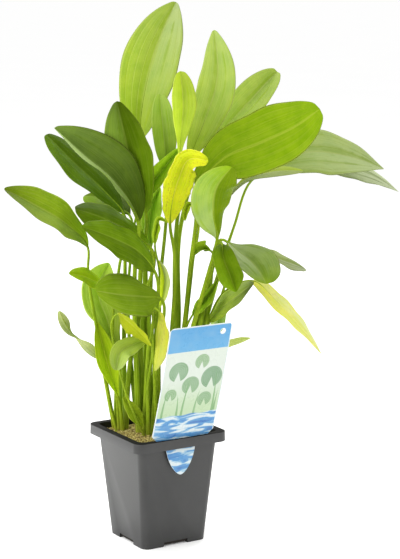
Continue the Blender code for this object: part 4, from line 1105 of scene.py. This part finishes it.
leaf("leaf_16", "leaf_dark", foot=(-0.028, 0.012), stem=0.0026, width=0.048, shows=(23, 13),
     stalk_low=(129, 375, 0.006), stalk_high=(138, 315, -0.006), neck=(152, 250, -0.016),
     lower=(128, 231, -0.028), upper=(100, 217, -0.040), tip=(75, 209, -0.050),
     lean=(-1, 1), ends=(0.8, 0.6), light=(1.5, 1.2), rise=-0.6)
leaf("leaf_17", "leaf_dark", foot=(-0.011, -0.006), stem=0.0026, width=0.044, shows=(16, 15),
     neck=(155, 272, -0.032), lower=(140, 253, -0.046), upper=(112, 238, -0.064),
     tip=(82, 227, -0.082),
     lean=(-1, 1), light=(1.0, 1.3))
leaf("leaf_18", "leaf_mid", foot=(-0.004, -0.008), stem=0.0025, width=0.044, shows=(20, 22),
     stalk_mid=(158, 350, -0.022), neck=(161, 299, -0.038), lower=(144, 297, -0.054),
     upper=(120, 295, -0.076), tip=(96, 291, -0.094),
     lean=(-1, 1), ends=(0.8, 0.5), light=(0.9, 0.9), rise=0.2)
leaf("leaf_19", "leaf_bright", foot=(-0.034, 0.009), stem=0.0016, width=0.022, shows=(7, 9),
     stalk_mid=(113, 345, -0.004), neck=(106, 287, -0.014), lower=(94, 281, -0.022),
     upper=(82, 276, -0.030), tip=(69, 274, -0.038),
     lean=(-1, 1), ends=(0.9, 0.65), light=(1.3, 1.3), rise=-0.2, warm=0.3)
leaf("leaf_21", "leaf_pale", foot=(-0.037, 0.019), stem=0.0024, width=0.044, shows=(17, 19),
     neck=(117, 358, 0.008), lower=(108, 322, 0.018), upper=(98, 290, 0.032), tip=(109, 263, 0.048),
     widest=0.6, ends=(0.8, 0.85), light=(1.4, 0.9), rise=0.6, painted_sheen=(0.1, 0.05), painted_sheen_rise=1.0)
leaf("leaf_22", "leaf_bright", foot=(-0.031, 0.007), stem=0.0021, width=0.026, shows=(9.5, 11),
     neck=(119, 400, 0.000), lower=(110, 372, -0.008), upper=(103, 347, -0.015),
     tip=(97, 322, -0.020),
     widest=0.6, light=(1.4, 1.0), rise=-0.4, warm=0.3)
leaf("leaf_23", "leaf_mid", foot=(-0.039, 0.010), stem=0.0011, width=0.013, shows=(0, 0),
     stalk_mid=(105, 381, -0.004), neck=(97, 358, -0.014), lower=(84, 343, -0.022),
     upper=(70, 331, -0.030), tip=(59, 311, -0.038),
     lean=(1, -1), ends=(0.5, 0.5), twist=210, light=(0.8, 0.9), rise=0.2, warm=0.6,
     painted_sheen=(0.3, 0.3))
leaf("leaf_41", "leaf_pale", foot=(-0.031, 0.022), stem=0.0022, width=0.040, shows=(10, 12),
     stalk_low=(120, 370, 0.024), stalk_high=(119.5, 265, 0.026), neck=(130, 216, 0.032),
     lower=(115, 205, 0.040), upper=(100, 198, 0.048), tip=(84, 196, 0.058),
     lean=(-1, 1), light=(0.5, 0.3), rise=0.4, warm=-0.2)
print("leaves noted:", len(LEAVES))

# %% [markdown]
# ## The leaves' finishes
# Fresh leaves are never one green. The flesh is mottled, long veins run from the neck to the tip and
# draw together at both ends, fine streaks lie between them, the midrib and the margin are paler, and
# the neck fades to yellow-green. The outermost edge is paler still: partly the thin margin, partly
# painted light. The finish reads the leaf's own chart for all of that, so the veins follow the blade
# wherever it bends. Where a blade turns its waxy skin to the window it looks pale and greyish: that
# glare is painted in as a painted sheen, broken up by darker streaks along the veins. There are six
# kinds, from dark to withered yellow, and each leaf adds from its points its own lightness, which also
# paints in its light and shade, its warmth and its painted sheen.

# %% One finish for each kind of blade
VEIN_LINES = 4
# The pale greyish colour of the painted sheen, a glare painted where a blade faces the light
SHEEN_COLOUR = (0.66, 0.74, 0.47)
FLECK = (0.340, 0.260, 0.030)
LEAF_SHINE = 0.01
FULL_TURN = 2.0 * math.pi


def tinted(tree, colour):
    """A colour times the tint of the piece's points, which paints in light and shade, and the share of
    painted sheen that they have.
    """
    tint = add(tree, "Attribute", attribute_name="tint").outputs
    return mixed(tree, 1.0, colour, tint["Color"], "MULTIPLY"), Number(tint["Alpha"])


def blade_finish(name, flesh, deep, vein, vein_share, roughness, worn=0.0):
    """Flesh and deep are mixed by the mottling. The outermost rim is half as bright again as a vein.

    A worn blade has brown flecks, which lie closer together along its veins.
    """
    # The rim colour: painted light on the outermost edge, beside the thin pale margin
    rim = [min(value * 1.5, 0.95) for value in vein]
    finish, tree, shader = new_finish(name, roughness, LEAF_SHINE)
    across, along = chart_numbers(tree, "leaf")
    side = abs(across * 2.0 - 1.0)
    place = own_place(tree)
    mottle = grain(place, 70.0, 3.0, 0.55)
    cells = grain(place, 650.0, 2.0, 0.6)
    streaks = streaks_along(across * 70.0, along * 2.2)
    bands = streaks_along(across * 11.0, along * 1.6, mottle * 1.5)
    lines = (side * (FULL_TURN * VEIN_LINES)).maths("COSINE").fade(0.80, 1.0)
    ladder = (along * 230.0 + side * 26.0).maths("SINE").fade(0.80, 1.0)
    midrib = side.fade(0.075, 0.025)
    margin = side.fade(0.91, 0.97)
    # The outermost edge: partly the thin pale margin, partly painted light
    edge = side.fade(0.965, 0.99)
    neck = along.fade(0.16, 0.0)
    coats = [(streaks.fade(0.35, 0.75, 0.0, 0.30), vein), (lines * vein_share, vein),
             (ladder * streaks.fade(0.35, 0.6) * (vein_share * 0.35), vein), (midrib * 0.60, vein),
             (margin * 0.60, vein), (edge * 0.80, rim), (neck * 0.5, vein)]
    if worn:
        coats.append(((cells * 0.65 + bands * 0.35).fade(0.53, 0.66, 0.0, worn), FLECK))
    colour = mottle.fade(0.34, 0.66).mix(deep, flesh)
    for share, coat in coats:
        colour = share.mix(colour, coat)
    colour, painted_sheen = tinted(tree, colour)
    # Painted sheen: a pale greyish glare mixed into the colour, broken up along the veins
    painted_sheen = painted_sheen * (bands * 0.7 + streaks * 0.3).fade(0.30, 0.56, 0.45, 1.15)
    wire(painted_sheen.mix(colour, SHEEN_COLOUR), shader.inputs["Base Color"])
    wire(mottle.fade(0.25, 0.75, roughness + 0.05, roughness - 0.05), shader.inputs["Roughness"])
    bump(shader, cells * 0.25 - lines * 0.8 + streaks * 0.5, 0.0004, 0.5)
    return finish


# Each kind: flesh, deep, vein, how strongly the veins show, roughness, and how worn it is
BLADE_KINDS = {
    "leaf_pale": ((0.300, 0.420, 0.016), (0.235, 0.370, 0.006), (0.400, 0.500, 0.080), 0.40, 0.42),
    "leaf_bright": ((0.220, 0.380, 0.005), (0.165, 0.320, 0.002), (0.330, 0.460, 0.040), 0.20, 0.38),
    "leaf_mid": ((0.180, 0.290, 0.008), (0.135, 0.240, 0.003), (0.280, 0.375, 0.050), 0.24, 0.40),
    "leaf_dark": ((0.095, 0.170, 0.003), (0.068, 0.132, 0.001), (0.160, 0.235, 0.020), 0.22, 0.34),
    "leaf_lime": ((0.400, 0.500, 0.010), (0.320, 0.430, 0.004), (0.520, 0.580, 0.070), 0.35, 0.44,
                  0.15),
    "leaf_yellow": ((0.600, 0.620, 0.008), (0.480, 0.570, 0.003), (0.720, 0.700, 0.090), 0.30, 0.50,
                    0.55),
}
blade_finishes = {name: blade_finish(name, *kind) for name, kind in BLADE_KINDS.items()}
print("blade finishes:", len(blade_finishes))

# %% [markdown]
# ## The stalks' finish
# A stalk is firm and ribbed, mid green where it is in the light, and it pales to straw where it comes
# out of the soil, because the foot of each stalk grew in the dark. Long fine streaks follow the ribs.

# %% One finish for all stalks
STALK_GREEN = (0.215, 0.330, 0.008)
STALK_DEEP = (0.120, 0.210, 0.003)
STALK_RIB = (0.420, 0.520, 0.060)
STALK_FOOT = (0.420, 0.420, 0.060)
STALK_STRIPES = 10.0
PALE_FROM = 0.125
PALE_TO = 0.094


def stalk_finish():
    finish, tree, shader = new_finish("stalk", 0.42, LEAF_SHINE)
    across, _ = chart_numbers(tree, "leaf")
    place = own_place(tree)
    ribs = (across * (FULL_TURN * STALK_STRIPES)).maths("COSINE")
    clouds = grain(place, 90.0, 3.0, 0.6, (1.0, 1.0, 0.35))
    fibres = grain(place, 1500.0, 2.0, 0.5, (1.0, 1.0, 0.03))
    colour = clouds.fade(0.32, 0.66).mix(STALK_DEEP, STALK_GREEN)
    colour = ribs.fade(0.2, 1.0, 0.0, 0.40).mix(colour, STALK_RIB)
    colour = fibres.fade(0.45, 0.75, 0.0, 0.45).mix(colour, STALK_RIB)
    pale = (axes(place)[2] + clouds * 0.02).fade(PALE_FROM, PALE_TO, 0.0, 0.6)
    colour, _ = tinted(tree, pale.mix(colour, STALK_FOOT))
    wire(colour, shader.inputs["Base Color"])
    wire(clouds.fade(0.3, 0.7, 0.38, 0.50), shader.inputs["Roughness"])
    bump(shader, ribs * 0.5 + fibres, 0.0002, 0.5)
    return finish


stalk_material = stalk_finish()

# %% [markdown]
# ## From places to paths
# `seen` turns a picture place and a distance into a real point. A smooth curve through a leaf's
# points gives its path, 70 stations along the stalk and 22 along the blade. Leaves that grow this
# close would run through each other, so they then push each other apart in small steps, always along
# the line of sight, which keeps them where they show.

# %% Paths of the leaves
STALK_STATIONS = 70
BLADE_STATIONS = 22
STALK_TAPER = 0.50
GAP = 0.0003
PATH_POINTS = 800
# A stalk rises steeply before it leans out: halfway up it has covered this share of the way across.
# That goes for stalks that climb at least this high, without and with places that they pass.
LONE_SHARE = 0.36
LONE_RISE = 0.040
PASSING_SHARE = 0.42
PASSING_RISE = 0.110


def seen(across, down, behind):
    """The point that shows at this place in the picture and lies this far behind the pot's middle."""
    ray = FORWARD + RIGHT * ((across - PICTURE_MIDDLE[0]) / PICTURE_FOCUS)
    ray = ray + UP * ((PICTURE_MIDDLE[1] - down) / PICTURE_FOCUS)
    return EYE + ray * ((behind - EYE[1]) / ray[1])


def unit(vectors):
    return vectors / np.linalg.norm(vectors, axis=-1, keepdims=True)


def evenly(points, count):
    """The same path as this many points, evenly spaced."""
    steps = np.linalg.norm(np.diff(points, axis=0), axis=1)
    run = np.concatenate([[0.0], np.cumsum(steps)])
    wanted = np.linspace(0.0, run[-1], count)
    return np.stack([np.interp(wanted, run, points[:, axis]) for axis in range(3)], axis=-1)


def smooth_path(points, steps=40):
    """A smooth curve that passes through the points."""
    places = np.array(points, float)
    steps_between = np.diff(places, axis=0)
    gaps = np.linalg.norm(steps_between, axis=1)
    chords = steps_between / gaps[:, None]
    slopes = np.zeros_like(places)
    for i in range(1, len(places) - 1):
        both = gaps[i] + gaps[i - 1]
        slopes[i] = (chords[i - 1] * gaps[i] + chords[i] * gaps[i - 1]) / both
    slopes[0] = 1.5 * chords[0] - 0.5 * slopes[1]
    slopes[-1] = 1.5 * chords[-1] - 0.5 * slopes[-2]
    curve = []
    for i, gap in enumerate(gaps):
        for s in np.linspace(0.0, 1.0, steps, endpoint=False):
            curve.append((2 * s ** 3 - 3 * s ** 2 + 1) * places[i]
                         + (s ** 3 - 2 * s ** 2 + s) * gap * slopes[i]
                         + (3 * s ** 2 - 2 * s ** 3) * places[i + 1]
                         + (s ** 3 - s ** 2) * gap * slopes[i + 1])
    curve.append(places[-1])
    return np.array(curve)


def stalk_places(one):
    """The stalk's foot and the places that it passes, rising steeply before it leans out."""
    foot = np.array((*one["foot"], SOIL_TOP + GAP))
    passed = [seen(*place) for place in one["stalk"]]
    share = PASSING_SHARE if passed else LONE_SHARE
    rise = PASSING_RISE if passed else LONE_RISE
    first = passed[0] if passed else seen(*one["blade"][0])
    if first[2] - SOIL_TOP > rise:
        halfway = foot + (first - foot) * 0.5
        halfway[:2] = foot[:2] + (first[:2] - foot[:2]) * share
        passed.insert(0, halfway)
    return [foot] + passed


def leaf_path(one):
    """The stalk's middle line and then the midrib, as stations from the foot to the tip."""
    blade = [seen(*place) for place in one["blade"]]
    whole = evenly(smooth_path(stalk_places(one) + blade), PATH_POINTS)
    neck = int(np.argmin(np.linalg.norm(whole - blade[0], axis=1)))
    return np.concatenate([evenly(whole[:neck + 1], STALK_STATIONS),
                           evenly(whole[neck:], BLADE_STATIONS)])


# %% The halves of a blade
def half_width(along, widest, ends):
    """How wide a half is along the blade, as a share of its greatest width."""
    bend = math.log(0.5) / math.log(widest)
    swell = np.clip(np.sin(math.pi * along ** bend), 0.0, 1.0)
    return np.where(along < widest, swell ** ends[0], swell ** ends[1])


def blade_halves(one, midrib, along):
    """For each station of the blade, the way from the midrib to its left and right margin."""
    heading = unit(np.gradient(midrib, axis=0))
    sideways = unit(np.cross(heading, unit(midrib - EYE)))
    facing = unit(np.cross(heading, sideways))
    pixel = np.linalg.norm(midrib[len(midrib) // 2] - EYE) / PICTURE_FOCUS
    profile = half_width(along, one["widest"], one["ends"])
    halves = []
    for side, shown, lean in zip((1, -1), one["shows"], one["lean"]):
        reach = max(one["width"] / 2, shown * pixel)
        angle = math.acos(shown * pixel / reach) * lean
        angle = angle + one["twist"] * (along - 0.5) * side
        out = sideways * (side * np.cos(angle))[:, None] - facing * np.sin(angle)[:, None]
        halves.append(out * (reach * profile)[:, None])
    return halves


def stalk_radius(one):
    return one["stem"] * (1.0 - STALK_TAPER * np.linspace(0.0, 1.0, STALK_STATIONS))


# %% Leaves that come too close push each other apart
ACROSS_BLADE = np.linspace(-1.0, 1.0, 9)
BLADE_ROOM = 0.0019
CLEARANCE = 0.0007
CLOUD_MARGIN = 0.0040
PUSH_ROUNDS = 60
PUSH_SHARE = 0.7
PUSH_SPREAD = 5.0
RAMP_HEIGHT = 0.050


def move_along_sight(points, shift):
    """Points moved away from the eye, but only level where they are near the soil."""
    ray = points - EYE
    ray = ray / ray[:, 1:2]
    ramp = np.clip((points[:, 2] - SOIL_TOP) / RAMP_HEIGHT, 0.0, 1.0)
    ray[:, 0] *= ramp
    ray[:, 2] *= ramp
    return points + ray * shift[:, None]


def leaf_cloud(one, path):
    """Points all over a leaf, the room that each takes up, and the station that it belongs to."""
    midrib = path[STALK_STATIONS:]
    left, right = blade_halves(one, midrib, np.linspace(0.0, 1.0, BLADE_STATIONS))
    points = [path[:STALK_STATIONS]]
    rooms = [stalk_radius(one)]
    stations = [np.arange(STALK_STATIONS)]
    for share in ACROSS_BLADE:
        half = right if share > 0 else left
        points.append(midrib + abs(share) * half)
        rooms.append(np.full(BLADE_STATIONS, BLADE_ROOM))
        stations.append(STALK_STATIONS + np.arange(BLADE_STATIONS))
    points = np.concatenate(points)
    return {"points": points, "rooms": np.concatenate(rooms), "stations": np.concatenate(stations),
            "low": points.min(axis=0) - CLOUD_MARGIN, "high": points.max(axis=0) + CLOUD_MARGIN}


def push_pair(names, clouds, pushes, orders):
    """Note how far two leaves have to move apart, one away from the eye and the other towards it."""
    first, second = [clouds[name] for name in names]
    low = np.maximum(first["low"], second["low"])
    high = np.minimum(first["high"], second["high"])
    near = [np.all((cloud["points"] > low) & (cloud["points"] < high), axis=1)
            for cloud in (first, second)]
    if not near[0].any() or not near[1].any():
        return
    between = second["points"][near[1]][None, :, :] - first["points"][near[0]][:, None, :]
    need = first["rooms"][near[0]][:, None] + second["rooms"][near[1]][None, :] + CLEARANCE
    rows, columns = np.nonzero((between ** 2).sum(axis=-1) < need ** 2)
    if len(rows) == 0:
        return
    need = need[rows, columns]
    behind = between[rows, columns, 1]
    level = between[rows, columns, 0] ** 2 + between[rows, columns, 2] ** 2
    order = orders.setdefault(names, 1.0 if behind.sum() >= 0 else -1.0)
    wanted = np.sqrt(np.maximum(need ** 2 - level, 0.0))
    lack = np.minimum(wanted - order * behind, need) * 0.5
    nearer = 1 if order > 0 else 0
    np.maximum.at(pushes[names[0]][nearer], first["stations"][near[0]][rows], lack)
    np.maximum.at(pushes[names[1]][1 - nearer], second["stations"][near[1]][columns], lack)


def spread_leaves():
    """The path of each leaf, once leaves that came too close have pushed each other apart."""
    total = STALK_STATIONS + BLADE_STATIONS
    steps = np.arange(total)
    share = np.exp(-0.5 * ((steps[:, None] - steps[None, :]) / PUSH_SPREAD) ** 2)
    share = share / share.sum(axis=1, keepdims=True)
    paths = {name: leaf_path(one) for name, one in LEAVES.items()}
    shifts = {name: np.zeros(total) for name in LEAVES}
    pairs = [(name, other) for name in LEAVES for other in LEAVES if name < other]
    orders = {}
    for _ in range(PUSH_ROUNDS):
        clouds = {name: leaf_cloud(one, move_along_sight(paths[name], shifts[name]))
                  for name, one in LEAVES.items()}
        pushes = {name: np.zeros((2, total)) for name in LEAVES}
        for pair in pairs:
            if np.all(clouds[pair[0]]["low"] < clouds[pair[1]]["high"]) and \
                    np.all(clouds[pair[1]]["low"] < clouds[pair[0]]["high"]):
                push_pair(pair, clouds, pushes, orders)
        for name in LEAVES:
            away, towards = pushes[name]
            shifts[name] += share @ (away - towards) * PUSH_SHARE
    return {name: move_along_sight(paths[name], shifts[name]) for name in LEAVES}


paths = spread_leaves()
print("paths:", len(paths))

# %% [markdown]
# ## The shape of a blade and a stalk
# A blade could be a flat sheet with a thickness, but a real one is thin at its margins, thick at its
# midrib, arched a little between the two, and its margins wave. So it is rolled from one closed grid
# that runs across the upper face and back across the lower one, and closes in a point at both ends.
# The stalk is a second grid, rolled into a ribbed tube, which runs on along the blade's underside as
# the midrib and thins out before the tip. The two are joined, because they grew as one piece.

# %% Sizes of the fine shape
BLADE_ROUND = 48
BLADE_ROWS = 60
ROW_CROWDING = 0.45
STALK_ROUND = 14
STALK_ROWS = 76
STALK_ROW_SHARE = 0.66
MIDRIB_REACH = 0.90
MIDRIB_END = 0.00025
MIDRIB_TAPER = 1.6
MIDRIB_SINK = 0.45
BLADE_THICKNESS = 0.00060
MARGIN_THICKNESS = 0.00016
BLADE_ARCH = 0.06
MARGIN_WAVE = 0.018
FEWEST_WAVES = 2.2
MORE_WAVES = 1.6
# Bites out of a ragged margin: how many, how much they differ from leaf to leaf, and how deep
BITES = ((5.0, 3.1, 2.0), (13.0, 5.3, 0.8))
DEEPEST_BITE = 1.6
VEIN_PILLOW = 0.00014
VEINS = 4
RIBS = 5
RIB_DEPTH = 0.07
FOOT_SINK = 0.0030
HALVES_BLEND = 0.08
TINY = 1e-9


def on_curve(stations, shares):
    """Points on a smooth curve through evenly spaced stations, at these shares of its length."""
    place = np.clip(shares, 0.0, 1.0) * (len(stations) - 1)
    i = np.minimum(place.astype(int), len(stations) - 2)
    t = (place - i)[:, None]
    p0 = stations[np.maximum(i - 1, 0)]
    p1 = stations[i]
    p2 = stations[i + 1]
    p3 = stations[np.minimum(i + 2, len(stations) - 1)]
    return 0.5 * (2 * p1 + (p2 - p0) * t + (2 * p0 - 5 * p1 + 4 * p2 - p3) * t ** 2
                  + (3 * p1 - p0 - 3 * p2 + p3) * t ** 3)


def blade_place(one, path, number):
    """The function that puts a grid's points on this leaf's blade."""
    rows = np.linspace(0.0, 1.0, BLADE_ROWS + 1)
    rows = (1.0 - ROW_CROWDING) * rows + ROW_CROWDING * (0.5 - 0.5 * np.cos(math.pi * rows))
    midrib = on_curve(path[STALK_STATIONS:], rows)
    left, right = blade_halves(one, midrib, rows)
    heading = unit(np.gradient(midrib, axis=0))
    spread = left - right
    spread[0], spread[-1] = spread[1], spread[-2]
    facing = unit(np.cross(heading, spread))
    for side, halves in enumerate((left, right)):
        for row, along in enumerate(rows):
            bite = sum(depth * abs(noise.noise((along * count, side * 7.0, number * differ)))
                       for count, differ, depth in BITES)
            halves[row] *= 1.0 - one["ragged"] * min(bite, DEEPEST_BITE)
    wave_count = FEWEST_WAVES + (number * 0.37) % MORE_WAVES
    start = number * 2.4

    def place(across, along):
        row = np.rint(along * BLADE_ROWS).astype(int)
        side = 1.0 - 2.0 * (1.0 - np.abs(1.0 - 2.0 * across))
        share = np.abs(side)
        is_left = side > 0
        half = np.where(is_left[:, None], left[row], right[row])
        reach = np.linalg.norm(half, axis=1)
        flat = np.where(is_left[:, None], np.cross(heading[row], half), np.cross(half, heading[row]))
        normal = flat / np.maximum(np.linalg.norm(flat, axis=1, keepdims=True), TINY)
        normal = unit(normal * share[:, None] + facing[row] * (1.0 - share)[:, None] + TINY)
        arch = BLADE_ARCH * reach * np.sin(math.pi * share ** 0.8) ** 2
        sway = np.sin(FULL_TURN * (wave_count * rows[row] + np.where(is_left, 0.0, 0.37)) + start)
        wave = MARGIN_WAVE * one["width"] * share ** 3 * sway * np.sin(math.pi * rows[row])
        pillow = VEIN_PILLOW * np.abs(np.sin(math.pi * VEINS * share)) * np.sin(math.pi * rows[row])
        swell = (BLADE_THICKNESS - MARGIN_THICKNESS) * (1.0 - share ** 2) + MARGIN_THICKNESS
        ending = np.clip(np.minimum(rows[row], 1.0 - rows[row]) * 20.0, 0.0, 1.0)
        face = np.where(across <= 0.5, 0.5, -0.5) * np.where(share > 0.999, 0.0, 1.0)
        out = arch + wave + pillow + face * swell * ending
        return turned(midrib[row] + half * share[:, None] + normal * out[:, None])

    return place


def stalk_place(one, path):
    """The function that puts a grid's points round this leaf's stalk and midrib."""
    stalk_rows = int(STALK_ROWS * STALK_ROW_SHARE)
    shares = np.concatenate([[0.0], np.linspace(0.0, 1.0, stalk_rows - 1, endpoint=False)])
    on_stalk = on_curve(path[:STALK_STATIONS], shares)
    blade_rows = np.linspace(0.0, MIDRIB_REACH, STALK_ROWS + 1 - stalk_rows)
    midrib = on_curve(path[STALK_STATIONS:], blade_rows)
    left, right = blade_halves(one, midrib, blade_rows)
    neck = one["stem"] * (1.0 - STALK_TAPER)
    thin = MIDRIB_END + (neck - MIDRIB_END) * (1.0 - blade_rows / MIDRIB_REACH) ** MIDRIB_TAPER
    radius = np.concatenate([one["stem"] * (1.0 - STALK_TAPER * shares), thin])
    radius[0] = radius[-1] = 0.0
    line = np.concatenate([on_stalk, midrib])
    line[:2, 2] -= FOOT_SINK
    heading = unit(np.gradient(line, axis=0) + 1e-12)
    heading[:3] = (0.0, 0.0, 1.0)
    spread = left - right
    spread[0] = spread[1]
    arm = np.concatenate([np.repeat(spread[1:2], stalk_rows, axis=0), spread])
    arm = unit(arm - heading * (arm * heading).sum(axis=1, keepdims=True))
    facing = np.cross(heading, arm)
    sunk = thin * MIDRIB_SINK * np.clip(blade_rows * 6.0, 0.0, 1.0)
    line = line - facing * np.concatenate([np.zeros(stalk_rows), sunk])[:, None]

    def place(across, along):
        row = np.rint(along * STALK_ROWS).astype(int)
        angle = across * FULL_TURN
        ribbed = 1.0 + RIB_DEPTH * np.cos(angle * RIBS)
        spoke = arm[row] * np.cos(angle)[:, None] + facing[row] * np.sin(angle)[:, None]
        return turned(line[row] + spoke * (radius[row] * ribbed)[:, None])

    return place


# %% Model every leaf
def leaf_chart(piece, folded):
    """The piece's own chart: across and along. On a blade it runs from margin to margin."""
    chart = piece.data.uv_layers[0]
    chart.name = "leaf"
    if folded:
        for point in chart.data:
            point.uv.x = 1.0 - abs(1.0 - 2.0 * point.uv.x)


def tint_points(piece, one, is_blade):
    """Write down for each point how light and how warm it is, and how much painted sheen lies on it. The
    lightness paints in light and shade.
    """
    tint = np.zeros((len(piece.data.vertices), 4))
    warm = one["warm"] if is_blade else one["warm"] * 0.3
    light = np.full(len(tint), one.get("stalk_light", 1.0))
    if is_blade:
        chart = np.zeros((len(tint), 2))
        for loop, point in zip(piece.data.loops, piece.data.uv_layers[0].data):
            chart[loop.vertex_index] = point.uv
        is_right = np.clip((chart[:, 0] - 0.5) / HALVES_BLEND + 0.5, 0.0, 1.0)
        run = 2.0 * chart[:, 1] - 1.0
        # Painted light and shade: each half gets its own lightness, which grows or fades towards the tip
        light = one["light"][0] + (one["light"][1] - one["light"][0]) * is_right
        light = light * (1.0 + one["rise"] * run)
        # Painted sheen on each half, which grows or fades towards the tip
        painted_sheen = one["painted_sheen"][0] + (one["painted_sheen"][1] - one["painted_sheen"][0]) * is_right
        tint[:, 3] = np.clip(painted_sheen * (1.0 + one["painted_sheen_rise"] * run), 0.0, 1.0)
    tint[:, 0] = light * (1.0 + warm)
    tint[:, 1] = light * (1.0 + 0.35 * warm)
    tint[:, 2] = light
    colours = piece.data.attributes.new("tint", "FLOAT_COLOR", "POINT")
    colours.data.foreach_set("color", tint.reshape(-1))


def model_leaf(name, one, path):
    """A blade and a stalk, joined as one piece: the blade has the first material, the stalk the next."""
    number = int(name[-2:])
    blade = bent_grid(name + "_grown", BLADE_ROUND, BLADE_ROWS, blade_place(one, path, number))
    stalk = bent_grid(name + "_stalk", STALK_ROUND, STALK_ROWS, stalk_place(one, path))
    for piece, is_blade in ((blade, True), (stalk, False)):
        leaf_chart(piece, is_blade)
        tint_points(piece, one, is_blade)
        smooth(piece)
    blade.data.materials.append(blade_finishes[one["finish"]])
    stalk.data.materials.append(stalk_material)
    work_on(blade)
    stalk.select_set(True)
    bpy.ops.object.join()
    hand_over(blade, one["finish"], None, name)
    return blade


leaves = [model_leaf(name, one, paths[name]) for name, one in LEAVES.items()]
print("leaves:", len(leaves), "with", sum(len(one.data.polygons) for one in leaves), "faces")

# %% [markdown]
# ## The cut stalk
# One old leaf was cut off a few centimetres above the soil. Its stub is a short ribbed rod with a
# pale, slightly sunken cut face. It is rolled from a grid in the same way as the stalks, so that its
# ribs and its finish match theirs.

# %% The stub
CUT_STALK_FOOT = (-0.0350, 0.0020)
CUT_STALK_TOP = (108.5, 399, -0.006)
CUT_STALK_RADIUS = 0.0010
CUT_STALK_ROWS = 24
CUT_STALK_BOW = 0.15
CUT_STALK_SWELL = 0.15
CUT_FACE = 0.8
CUT_DIP = 0.0003


def cut_stalk_place(across, along):
    """Round the stub: a point under the soil, the ribbed side, the cut's rim and its middle."""
    foot = np.array((*CUT_STALK_FOOT, SOIL_TOP - FOOT_SINK))
    top = seen(*CUT_STALK_TOP)
    row = np.rint(along * CUT_STALK_ROWS).astype(int)
    share = np.clip((row - 1) / (CUT_STALK_ROWS - 3), 0.0, 1.0)
    lean = np.sin(share * math.pi * 0.5) * CUT_STALK_BOW + share * (1.0 - CUT_STALK_BOW)
    line = foot + (top - foot) * np.stack([lean, lean, share], axis=-1)
    radius = CUT_STALK_RADIUS * (1.0 + CUT_STALK_SWELL * (1.0 - share))
    radius = np.where((row == 0) | (row == CUT_STALK_ROWS), 0.0, radius)
    radius = np.where(row == CUT_STALK_ROWS - 1, radius * CUT_FACE, radius)
    line[:, 2] -= np.where(row == CUT_STALK_ROWS, CUT_DIP, 0.0)
    angle = across * FULL_TURN
    ribbed = 1.0 + RIB_DEPTH * np.cos(angle * RIBS)
    line[:, 0] += radius * ribbed * np.cos(angle)
    line[:, 1] += radius * ribbed * np.sin(angle)
    return turned(line)


stub = bent_grid("cut_stalk_grown", STALK_ROUND, CUT_STALK_ROWS, cut_stalk_place)
leaf_chart(stub, False)
tint_points(stub, {"stalk_light": 1.15, "warm": 0.3}, False)
smooth(stub, 50)
hand_over(stub, "leaf_pale", stalk_material, "cut_stalk")
print("stub:", len(stub.data.polygons), "faces")

# %% [markdown]
# ## Finish
# The dressed part has to stay in the box of the imported one. Both boxes are kept.

# %% Finish
bpy.ops.object.select_all(action="DESELECT")
